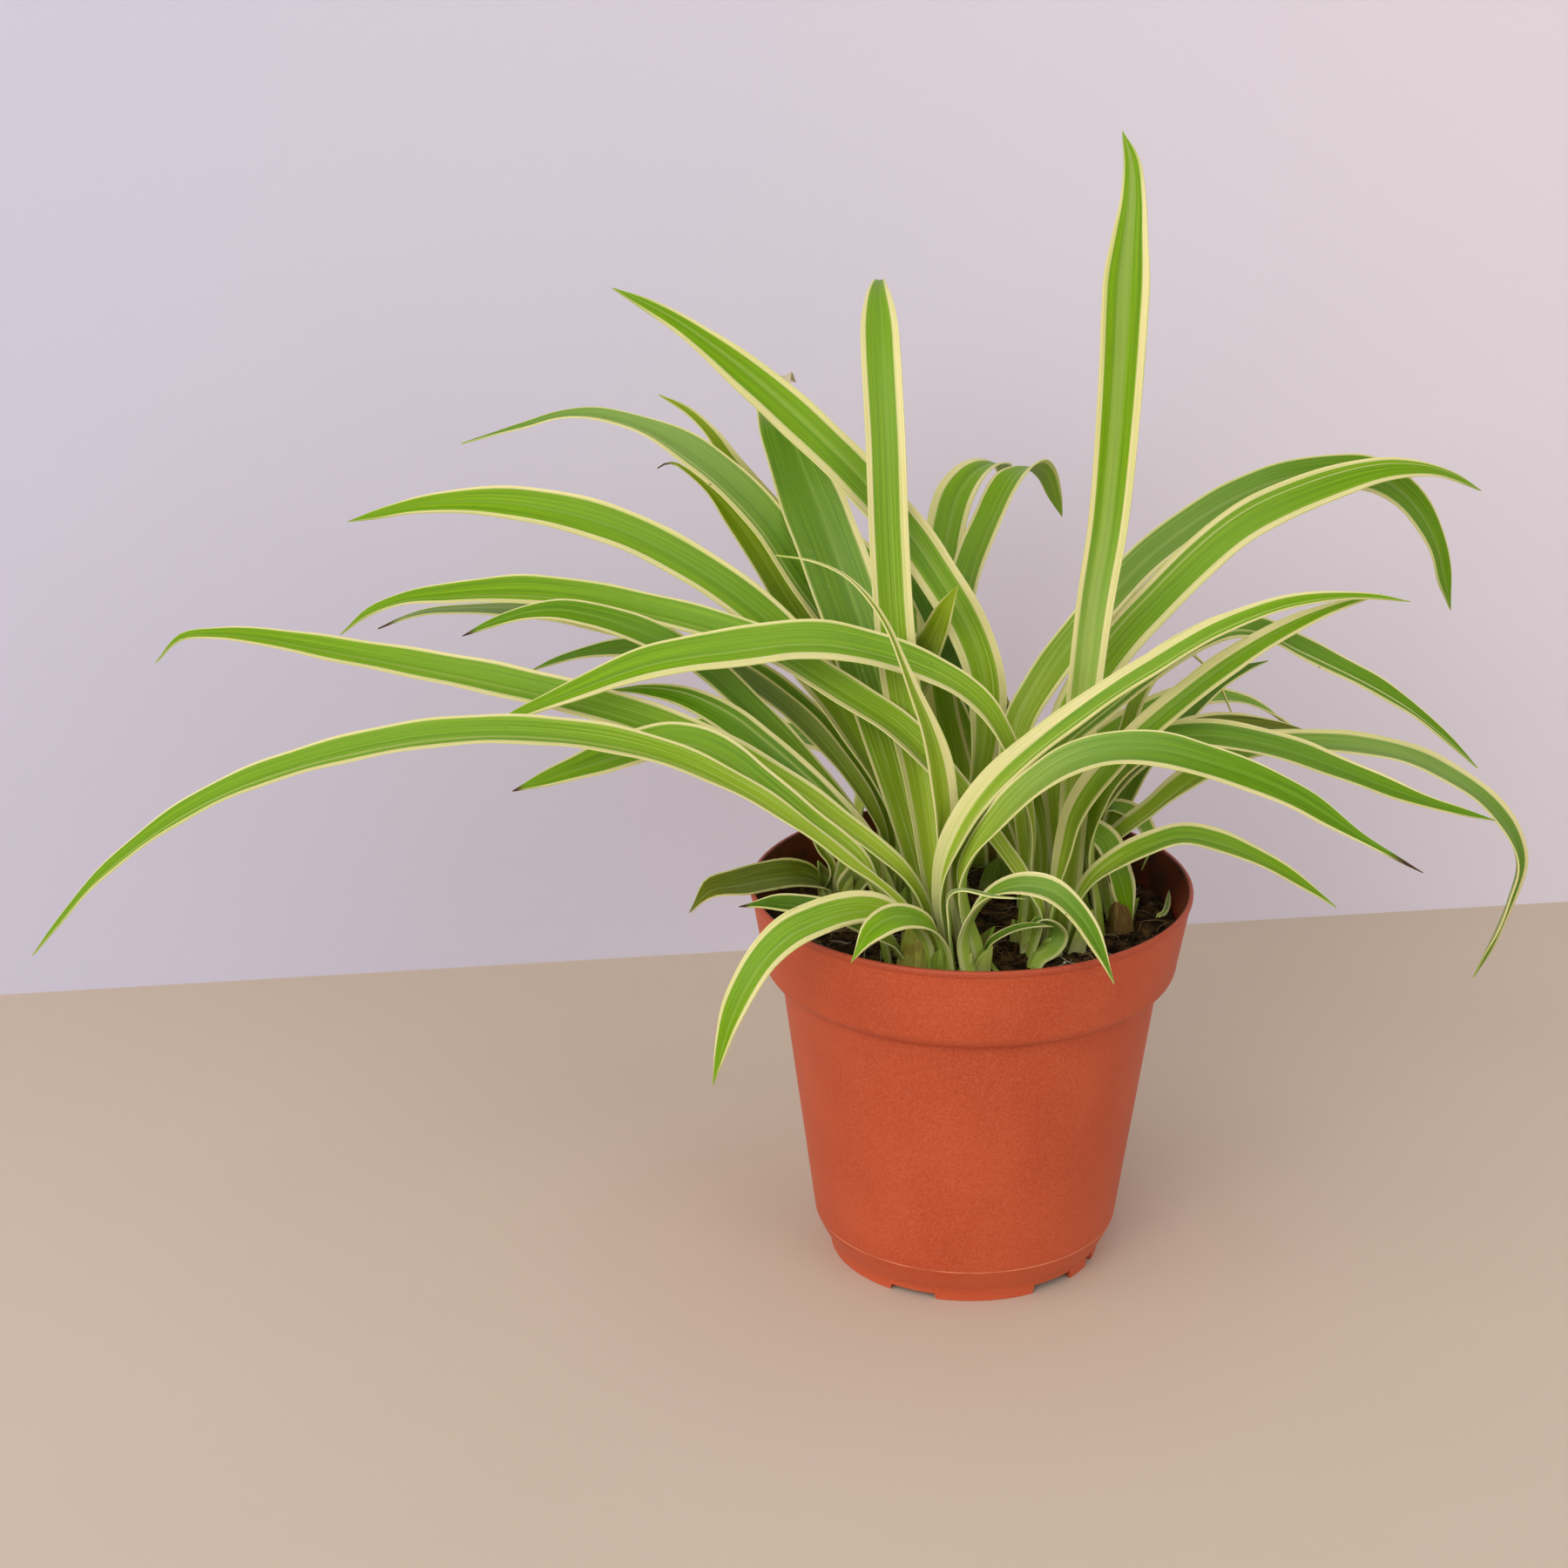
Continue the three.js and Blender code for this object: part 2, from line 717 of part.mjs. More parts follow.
// Turn of the blade about its own length, in radians, growing from an unturned base
function turnAt(share, [middleTurn, tipTurn]) {
  const grown = middleTurn * smoothShare(Math.min(share / TURN_SHARE, 1));
  const towardsTip = (tipTurn - middleTurn) * Math.max(2 * share - 1, 0);
  return THREE.MathUtils.degToRad(grown + towardsTip);
}

// The four corners of a blade section: left margin, upper midrib, right margin, lower midrib
function sectionCorners(leaf, curve, share) {
  const centre = curve.getPointAt(share);
  const along = curve.getTangentAt(share);
  const bearing = THREE.MathUtils.degToRad(leaf.bearing);
  const across = new THREE.Vector3(Math.sin(bearing), -Math.cos(bearing), 0);
  across.addScaledVector(along, -across.dot(along)).normalize();
  across.applyAxisAngle(along, turnAt(share, leaf.turn));
  const upper = new THREE.Vector3().crossVectors(across, along);
  const half = widthAt(share, leaf) / 2;
  const fold = THREE.MathUtils.lerp(BASE_FOLD, TIP_FOLD, share);
  const thickness = THREE.MathUtils.lerp(BLADE_THICKNESS, TIP_THICKNESS, share);
  const corner = (sideways, upwards) =>
    centre.clone().addScaledVector(across, sideways).addScaledVector(upper, upwards);
  return [
    corner(-half, fold * half),
    corner(0, thickness / 2 - (fold * half) / 2),
    corner(half, fold * half),
    corner(0, -thickness / 2 - (fold * half) / 2),
  ];
}

// One blade: sections along its route from the flat base to a pointed tip
function bladeGeometry(leaf) {
  const [[baseX, baseY], ...rest] = leaf.route;
  const base = new THREE.Vector3(baseX, baseY, soilHeight(baseX, baseY) + BASE_GAP);
  const points = [base, ...rest.map(([x, y, z]) => new THREE.Vector3(x, y, z))];
  const curve = new THREE.CatmullRomCurve3(points, false, 'centripetal');
  const wanted = Math.round(curve.getLength() / STATION_SPACING);
  const stations = THREE.MathUtils.clamp(wanted, FEWEST_STATIONS, MOST_STATIONS);
  const corners = [];
  for (let i = 0; i < stations; i += 1) {
    corners.push(...sectionCorners(leaf, curve, i / stations));
  }
  corners.push(curve.getPointAt(1));
  return closedBlade(corners, stations);
}

function closedBlade(corners, stations) {
  const faces = [0, 3, 1, 3, 2, 1];
  const apex = 4 * stations;
  for (let i = 0; i < stations; i += 1) {
    for (let side = 0; side < 4; side += 1) {
      const near = 4 * i + side;
      const nearNext = 4 * i + ((side + 1) % 4);
      // Each panel's two skins are split alike, from the margin to the next midrib, so that a
      // twisted blade keeps its thickness
      if (i === stations - 1) {
        faces.push(near, nearNext, apex);
      } else if (side % 2 === 0) {
        faces.push(near, nearNext, nearNext + 4, near, nearNext + 4, near + 4);
      } else {
        faces.push(near, nearNext, near + 4, nearNext, nearNext + 4, near + 4);
      }
    }
  }
  const geometry = new THREE.BufferGeometry().setFromPoints(corners);
  geometry.setIndex(faces);
  return geometry;
}

const plant = new THREE.Group();

function addPiece(name, geometry, finish) {
  const mesh = new THREE.Mesh(geometry, new THREE.MeshStandardMaterial({ ...finish, metalness: 0 }));
  mesh.name = name;
  plant.add(mesh);
}

addPiece('pot', potGeometry(), FINISHES.pot);
addPiece('soil', soilGeometry(), FINISHES.soil);
for (const leaf of LEAVES) {
  addPiece(leaf.name, bladeGeometry(leaf), FINISHES[leaf.tone ?? 'green']);
}

export default plant;
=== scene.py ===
"""Potted spider plant: a moulded nursery pot, its soil and the plant's separate striped leaves.

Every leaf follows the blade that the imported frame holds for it, section by section, so it stays
where the frame's solid is. Lengths are in metres.
"""

import json
import logging
import math
import random
from dataclasses import dataclass
from enum import Enum
from itertools import combinations

import bmesh
import bpy
import numpy as np
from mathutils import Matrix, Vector, noise


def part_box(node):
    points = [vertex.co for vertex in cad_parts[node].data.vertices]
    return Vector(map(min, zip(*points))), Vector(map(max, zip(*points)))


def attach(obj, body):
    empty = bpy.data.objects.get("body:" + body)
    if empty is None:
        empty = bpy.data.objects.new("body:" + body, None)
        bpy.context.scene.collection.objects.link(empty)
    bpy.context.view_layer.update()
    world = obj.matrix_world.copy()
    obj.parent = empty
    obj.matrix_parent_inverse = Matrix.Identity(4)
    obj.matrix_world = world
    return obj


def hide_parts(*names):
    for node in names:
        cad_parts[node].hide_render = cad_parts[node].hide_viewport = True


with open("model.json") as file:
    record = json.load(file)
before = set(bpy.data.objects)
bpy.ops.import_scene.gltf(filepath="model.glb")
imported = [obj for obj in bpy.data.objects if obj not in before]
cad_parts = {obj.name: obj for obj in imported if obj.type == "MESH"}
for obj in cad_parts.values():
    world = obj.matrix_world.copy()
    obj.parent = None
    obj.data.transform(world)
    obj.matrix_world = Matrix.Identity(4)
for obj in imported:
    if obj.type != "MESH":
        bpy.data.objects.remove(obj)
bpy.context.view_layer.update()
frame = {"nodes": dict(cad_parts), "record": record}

log = logging.getLogger("spider_plant")

Piece = bpy.types.Object
Socket = bpy.types.NodeSocket
Pair = tuple[float, float]
Triple = tuple[float, float, float]

MM = 0.001
ROOT = "root"
MERGE_DISTANCE = 1e-6
BLADE_MERGE_DISTANCE = 2e-5
FOLD_RISE = 1.5


# ---- Small helpers -------------------------------------------------------------------------


def linear(colour: Triple) -> tuple[float, float, float, float]:
    """Turn a colour as seen on a screen into the linear colour of a shader.

    Args:
        colour: Red, green and blue, 0 to 255.

    Returns:
        The linear colour with an alpha of 1.
    """
    shares = [value / 255 for value in colour]
    return (*(share / 12.92 if share <= 0.04045 else ((share + 0.055) / 1.055) ** 2.4
              for share in shares), 1.0)


def smoothstep(low: float, high: float, value: np.ndarray | float) -> np.ndarray | float:
    """Return the smooth 0 to 1 step of value between low and high."""
    share = np.clip((value - low) / (high - low), 0, 1)
    return share * share * (3 - 2 * share)


def eased(value: np.ndarray, stops: tuple[Pair, ...]) -> np.ndarray:
    """Return the levels of some stops read at value, with an eased curve between the stops.

    Args:
        value: Where the levels are read.
        stops: Each stop's place and level, in the order of the places.

    Returns:
        The levels.
    """
    total = np.full(len(value), stops[0][1], dtype=float)
    for (place, level), (next_place, next_level) in zip(stops, stops[1:]):
        total += (next_level - level) * smoothstep(place, next_place, value)
    return total


def deselect_all() -> None:
    """Leave object mode with nothing selected, before a new primitive is added."""
    if bpy.context.object and bpy.context.object.mode != "OBJECT":
        bpy.ops.object.mode_set(mode="OBJECT")
    bpy.ops.object.select_all(action="DESELECT")


def only(piece: Piece) -> None:
    """Select one object alone and make it the active one.

    Args:
        piece: The object.
    """
    deselect_all()
    piece.select_set(True)
    bpy.context.view_layer.objects.active = piece


def name_active(name: str) -> Piece:
    """Name the active object and its mesh.

    Args:
        name: The name.

    Returns:
        The active object.
    """
    piece = bpy.context.object
    piece.name = name
    piece.data.name = name
    return piece


def modify(piece: Piece, kind: str, **settings: object) -> None:
    """Add a modifier to a piece, set it up and apply it.

    Args:
        piece: The piece.
        kind: The kind of modifier.
        **settings: The modifier's properties.
    """
    only(piece)
    modifier = piece.modifiers.new(kind.lower(), kind)
    for key, value in settings.items():
        setattr(modifier, key, value)
    bpy.ops.object.modifier_apply(modifier=modifier.name)


def close_up(piece: Piece, distance: float = MERGE_DISTANCE, outward: bool = True) -> None:
    """Merge a piece's doubled vertices and, on a closed piece, point its faces outwards.

    Args:
        piece: The piece to clean.
        distance: How near two vertices are merged.
        outward: Whether the faces are pointed outwards too.
    """
    only(piece)
    bpy.ops.object.mode_set(mode="EDIT")
    bpy.ops.mesh.select_all(action="SELECT")
    bpy.ops.mesh.remove_doubles(threshold=distance)
    if outward:
        bpy.ops.mesh.normals_make_consistent(inside=False)
    bpy.ops.object.mode_set(mode="OBJECT")


def turned(name: str, sides: int, outline: list[Pair]) -> Piece:
    """Turn an outline: a disc is extruded and resized from one corner to the next.

    Args:
        name: The piece's name.
        sides: How many sides the round shape has.
        outline: The radius and height of each corner.

    Returns:
        The turned piece, with its doubles not yet merged.
    """
    radius, height = outline[0]
    deselect_all()
    bpy.ops.mesh.primitive_circle_add(vertices=sides, radius=radius, fill_type="NGON",
                                      location=(0, 0, height))
    piece = name_active(name)
    bpy.ops.object.transform_apply(location=True)
    bpy.ops.object.mode_set(mode="EDIT")
    bpy.ops.mesh.select_all(action="SELECT")
    for next_radius, next_height in outline[1:]:
        bpy.ops.mesh.extrude_region_move(
            TRANSFORM_OT_translate={"value": (0, 0, next_height - height)})
        grown = next_radius / radius
        bpy.ops.transform.resize(value=(grown, grown, 1), center_override=(0, 0, next_height))
        radius, height = next_radius, next_height
    bpy.ops.object.mode_set(mode="OBJECT")
    return piece


def positions(mesh: bpy.types.Mesh) -> np.ndarray:
    """Read where a mesh's vertices lie.

    Args:
        mesh: The mesh.

    Returns:
        One row of three numbers for each vertex.
    """
    flat = np.zeros(len(mesh.vertices) * 3, dtype=np.float32)
    mesh.vertices.foreach_get("co", flat)
    return flat.reshape(-1, 3).astype(float)


def set_positions(mesh: bpy.types.Mesh, points: np.ndarray) -> None:
    """Write the mesh's vertices from rows of three numbers."""
    mesh.vertices.foreach_set("co", np.asarray(points, dtype=np.float32).ravel())
    mesh.update()


def hand_over(piece: Piece, slot: str, *nodes: str) -> Piece:
    """Let a finished piece ride on the part and stand for its nodes.

    Args:
        piece: The finished piece.
        slot: The record's material slot, which is not used.
        *nodes: The frame's nodes that the piece stands for.

    Returns:
        The same piece.
    """
    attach(piece, ROOT)
    if nodes:
        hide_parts(*nodes)
    log.info("%s: %d vertices", piece.name, len(piece.data.vertices))
    return piece


# ---- Shader building blocks ----------------------------------------------------------------


class Graph:
    """A short way to write a node tree: each method adds one node and returns its output."""

    def __init__(self, tree: bpy.types.NodeTree) -> None:
        """Start on an empty tree."""
        self.tree = tree
        tree.nodes.clear()

    def node(self, kind: str, **settings: object) -> bpy.types.Node:
        """Add a node and set its properties.

        Args:
            kind: The kind of node.
            **settings: The properties.

        Returns:
            The node.
        """
        made = self.tree.nodes.new(kind)
        for key, value in settings.items():
            setattr(made, key, value)
        return made

    def link(self, source: Socket, target: Socket) -> None:
        """Join an output to an input."""
        self.tree.links.new(source, target)

    def put(self, target: Socket, value: object) -> None:
        """Link an output into a socket, or set the socket to a plain value.

        Args:
            target: The socket.
            value: The output or the plain value.
        """
        if isinstance(value, bpy.types.NodeSocket):
            self.link(value, target)
        else:
            target.default_value = value

    def place(self) -> Socket:
        """Return the place on the object."""
        return self.node("ShaderNodeTexCoord").outputs["Object"]

    def uv(self) -> Socket:
        """Return the place on the piece's own UV map."""
        return self.node("ShaderNodeUVMap", uv_map="UVMap").outputs[0]

    def split(self, vector: Socket) -> list[Socket]:
        """Split a vector.

        Args:
            vector: The vector.

        Returns:
            Its three parts.
        """
        made = self.node("ShaderNodeSeparateXYZ")
        self.link(vector, made.inputs[0])
        return list(made.outputs)

    def joined(self, *values: object) -> Socket:
        """Join values into a vector.

        Args:
            *values: Two or three outputs or numbers.

        Returns:
            The vector.
        """
        made = self.node("ShaderNodeCombineXYZ")
        for socket, value in zip(made.inputs, values):
            self.put(socket, value)
        return made.outputs[0]

    def math(self, operation: str, *values: object) -> Socket:
        """Add a Math node.

        Args:
            operation: What the node works out.
            *values: Its inputs, as outputs or numbers.

        Returns:
            The result.
        """
        made = self.node("ShaderNodeMath", operation=operation)
        for socket, value in zip(made.inputs, values):
            self.put(socket, value)
        return made.outputs[0]

    def times(self, first: object, second: object) -> Socket:
        """Return the product of two values."""
        return self.math("MULTIPLY", first, second)

    def plus(self, first: object, second: object) -> Socket:
        """Return the sum of two values."""
        return self.math("ADD", first, second)

    def minus(self, first: object, second: object) -> Socket:
        """Return the difference of two values."""
        return self.math("SUBTRACT", first, second)

    def apart(self, first: object, second: object) -> Socket:
        """Return how far apart two values are."""
        return self.math("ABSOLUTE", self.minus(first, second))

    def step(self, value: object, low: object, high: object,
             start: object = 0.0, end: object = 1.0) -> Socket:
        """Map a value smoothly from one range to another, held at both ends.

        Args:
            value: The value.
            low: Where the value's range starts.
            high: Where the value's range ends.
            start: The result at low.
            end: The result at high.

        Returns:
            The mapped value.
        """
        made = self.node("ShaderNodeMapRange", interpolation_type="SMOOTHSTEP")
        for socket, given in zip(made.inputs, (value, low, high, start, end)):
            self.put(socket, given)
        return made.outputs[0]

    def mix(self, share: object, first: Socket | Triple, second: Socket | Triple) -> Socket:
        """Mix two colours, each an output or a colour as seen on a screen.

        Args:
            share: The share of the second colour.
            first: The first colour.
            second: The second colour.

        Returns:
            The mixed colour.
        """
        made = self.node("ShaderNodeMix", data_type="RGBA")
        self.put(made.inputs[0], share)
        for socket, colour in ((made.inputs[6], first), (made.inputs[7], second)):
            self.put(socket, linear(colour) if isinstance(colour, tuple) else colour)
        return made.outputs[2]

    def noise(self, vector: object, scale: object, detail: float = 2.0, rough: float = 0.5,
              distortion: float = 0.0) -> Socket:
        """Add a Noise texture.

        Args:
            vector: Where it is read.
            scale: How fine it is.
            detail: How many finer layers it has.
            rough: How strong the finer layers are.
            distortion: How far it is pulled out of shape.

        Returns:
            The noise, which lies round 0.5.
        """
        made = self.node("ShaderNodeTexNoise")
        given = {"Vector": vector, "Scale": scale, "Detail": detail, "Roughness": rough,
                 "Distortion": distortion}
        for key, value in given.items():
            self.put(made.inputs[key], value)
        return made.outputs[0]

    def mapped(self, vector: object, scale: Triple) -> Socket:
        """Scale a vector.

        Args:
            vector: The vector.
            scale: The scale of each of its parts.

        Returns:
            The scaled vector.
        """
        made = self.node("ShaderNodeMapping")
        self.put(made.inputs["Vector"], vector)
        made.inputs["Scale"].default_value = scale
        return made.outputs[0]

    def bump(self, height: Socket, strength: float, distance: float) -> Socket:
        """Add a Bump node.

        Args:
            height: The relief's height, 0 to 1.
            strength: How strongly the relief shows.
            distance: How high the relief is at a height of 1.

        Returns:
            The normal.
        """
        made = self.node("ShaderNodeBump")
        made.inputs["Strength"].default_value = strength
        made.inputs["Distance"].default_value = distance
        self.link(height, made.inputs["Height"])
        return made.outputs[0]

    def group(self, tree: bpy.types.NodeTree, **values: object) -> dict[str, Socket]:
        """Place a node group and set its inputs.

        Args:
            tree: The group.
            **values: The inputs, with underscores for their spaces.

        Returns:
            The outputs by name.
        """
        made = self.node("ShaderNodeGroup", node_tree=tree)
        for key, value in values.items():
            self.put(made.inputs[key.replace("_", " ")], value)
        return {socket.name: socket for socket in made.outputs}


def new_group(name: str, inputs: tuple[str, ...],
              outputs: tuple[str, ...]) -> tuple[Graph, dict[str, Socket], dict[str, Socket]]:
    """Start a shader node group with named sockets.

    Args:
        name: The group's name.
        inputs: The names of the inputs. The one called Vector is a vector, the rest are numbers.
        outputs: The names of the outputs, which are all numbers.

    Returns:
        The group's graph, and by name what it is given and what it puts out.
    """
    tree = bpy.data.node_groups.new(name, "ShaderNodeTree")
    for keys, side in ((inputs, "INPUT"), (outputs, "OUTPUT")):
        for key in keys:
            kind = "NodeSocketVector" if key == "Vector" else "NodeSocketFloat"
            tree.interface.new_socket(key, in_out=side, socket_type=kind)
    graph = Graph(tree)
    given = graph.node("NodeGroupInput").outputs
    result = graph.node("NodeGroupOutput").inputs
    return graph, {key: given[key] for key in inputs}, {key: result[key] for key in outputs}


def stripes_group() -> bpy.types.NodeTree:
    """Build the group that gives a blade its pale margins and inner streaks.

    Returns:
        The group. Across is 0 at the left margin and 1 at the right one; Along is 0 at the base
        and 1 at the tip.
    """
    graph, given, result = new_group(
        "leaf_stripes",
        ("Across", "Along", "Left", "Right", "Streak Place", "Streak Width", "Wander", "Seed"),
        ("Margin", "Streak", "Fine", "Veins", "Edge", "Rib"))
    across, along, seed = given["Across"], given["Along"], given["Seed"]
    softness = 0.022
    raggedness = 0.035

    def lines(count: float, bends: float, detail: float, rough: float) -> Socket:
        """Return lengthwise lines, with so many across the blade and so many bends along it."""
        spot = graph.joined(graph.times(across, count), graph.times(along, bends), seed)
        return graph.noise(spot, 1.0, detail, rough)

    drift = graph.minus(graph.noise(graph.joined(graph.times(along, 5.0), seed), 1.0), 0.5)
    moved = graph.plus(across, graph.times(drift, given["Wander"]))
    fine = lines(26.0, 3.0, 3.0, 0.6)
    ragged = graph.plus(moved, graph.times(graph.minus(fine, 0.5), raggedness))

    def side(line: Socket, outside: float, inside: float) -> Socket:
        """Return a soft step across a line that lies along the blade."""
        return graph.step(ragged, graph.minus(line, softness), graph.plus(line, softness),
                          outside, inside)

    left = side(given["Left"], 1.0, 0.0)
    right = side(graph.minus(1.0, given["Right"]), 0.0, 1.0)
    width = given["Streak Width"]
    from_edge = graph.math("MINIMUM", across, graph.minus(1.0, across))
    masks = {
        "Margin": graph.math("MAXIMUM", left, right),
        "Streak": graph.step(graph.apart(ragged, given["Streak Place"]), graph.times(width, 0.4),
                             width, 1.0, 0.0),
        "Fine": fine,
        "Veins": lines(60.0, 2.0, 2.0, 0.5),
        "Edge": graph.step(from_edge, 0.0, 0.05, 1.0, 0.0),
        # Rib: a soft band along the midrib, which the finish uses for painted shade in the fold's crease.
        "Rib": graph.step(graph.apart(moved, 0.5), 0.0, 0.09, 1.0, 0.0),
    }
    for key, mask in masks.items():
        graph.link(mask, result[key])
    return graph.tree


def specks_group() -> bpy.types.NodeTree:
    """Build the group that scatters small round specks over a surface.

    Returns:
        The group. Specks is a mask of dots, each of its own size, and few of them show.
    """
    graph, given, result = new_group("specks", ("Vector", "Spacing", "Size", "Share"), ("Specks",))
    cells = graph.node("ShaderNodeTexVoronoi")
    graph.link(given["Vector"], cells.inputs["Vector"])
    graph.link(graph.math("DIVIDE", 1.0, given["Spacing"]), cells.inputs["Scale"])
    pick = graph.node("ShaderNodeSeparateColor")
    graph.link(cells.outputs["Color"], pick.inputs[0])
    size = graph.times(given["Size"], pick.outputs[1])
    dot = graph.step(cells.outputs["Distance"], graph.times(size, 0.6), size, 1.0, 0.0)
    chosen = graph.math("LESS_THAN", pick.outputs[0], given["Share"])
    graph.link(graph.times(dot, chosen), result["Specks"])
    return graph.tree


def grain_group() -> bpy.types.NodeTree:
    """Build the group for the fine grain of moulded plastic.

    Returns:
        The group. Patches is slow, Grain is fine, and both lie round 0.5.
    """
    graph, given, result = new_group("moulded_grain", ("Vector", "Patch Scale", "Grain Scale"),
                                     ("Patches", "Grain"))
    for key, scale, detail in (("Patches", "Patch Scale", 3.0), ("Grain", "Grain Scale", 2.0)):
        graph.link(graph.noise(given["Vector"], given[scale], detail), result[key])
    return graph.tree


class Effects(Enum):
    """The node groups that several finishes share."""

    STRIPES = "leaf_stripes"
    SPECKS = "specks"
    GRAIN = "moulded_grain"

    def tree(self) -> bpy.types.NodeTree:
        """Build the group the first time it is asked for.

        Returns:
            The group.
        """
        builders = {Effects.STRIPES: stripes_group, Effects.SPECKS: specks_group,
                    Effects.GRAIN: grain_group}
        return bpy.data.node_groups.get(self.value) or builders[self]()


# ---- Finishes ------------------------------------------------------------------------------


@dataclass(frozen=True)
class Finish:
    """What every finish has: a name and a new material with a Principled shader."""

    name: str

    def start(self) -> tuple[bpy.types.Material, Graph, bpy.types.Node]:
        """Make the material.

        Returns:
            The material, its graph, and its Principled shader joined to the output.
        """
        material = bpy.data.materials.new(self.name)
        material.use_nodes = True
        graph = Graph(material.node_tree)
        shader = graph.node("ShaderNodeBsdfPrincipled")
        output = graph.node("ShaderNodeOutputMaterial")
        graph.link(shader.outputs[0], output.inputs["Surface"])
        return material, graph, shader

    def dress(self, graph: Graph, shader: bpy.types.Node, colour: Socket, roughness: object,
              specular: float, normal: Socket | None = None) -> None:
        """Give the shader all that the finish has worked out.

        Args:
            graph: The material's graph.
            shader: The Principled shader.
            colour: The colour.
            roughness: The roughness, as an output or a plain number.
            specular: The specular level.
            normal: The normal, on a surface with a relief.
        """
        graph.link(colour, shader.inputs["Base Color"])
        graph.put(shader.inputs["Roughness"], roughness)
        shader.inputs["Specular IOR Level"].default_value = specular
        if normal is not None:
            graph.link(normal, shader.inputs["Normal"])

    def material(self) -> bpy.types.Material:
        """Build the material, which every finish does in its own way."""
        raise NotImplementedError

    def cover(self, piece: Piece, angle: float) -> None:
        """Smooth the edges of a piece that are blunter than an angle and give it the finish.

        Args:
            piece: The piece.
            angle: The angle, in degrees.
        """
        only(piece)
        bpy.ops.object.shade_smooth_by_angle(angle=math.radians(angle))
        piece.data.materials.clear()
        piece.data.materials.append(self.material())


class Tone(Enum):
    """The greens of the plant's blades, each as its deep and its light green."""

    BRIGHT = ((92, 136, 0), (130, 168, 4))
    MID = ((76, 120, 0), (112, 152, 8))
    DEEP = ((56, 94, 2), (92, 128, 12))
    YELLOW = ((116, 144, 0), (156, 174, 34))
    OLIVE = ((74, 90, 10), (126, 132, 34))
    GREY = ((92, 118, 52), (142, 160, 96))


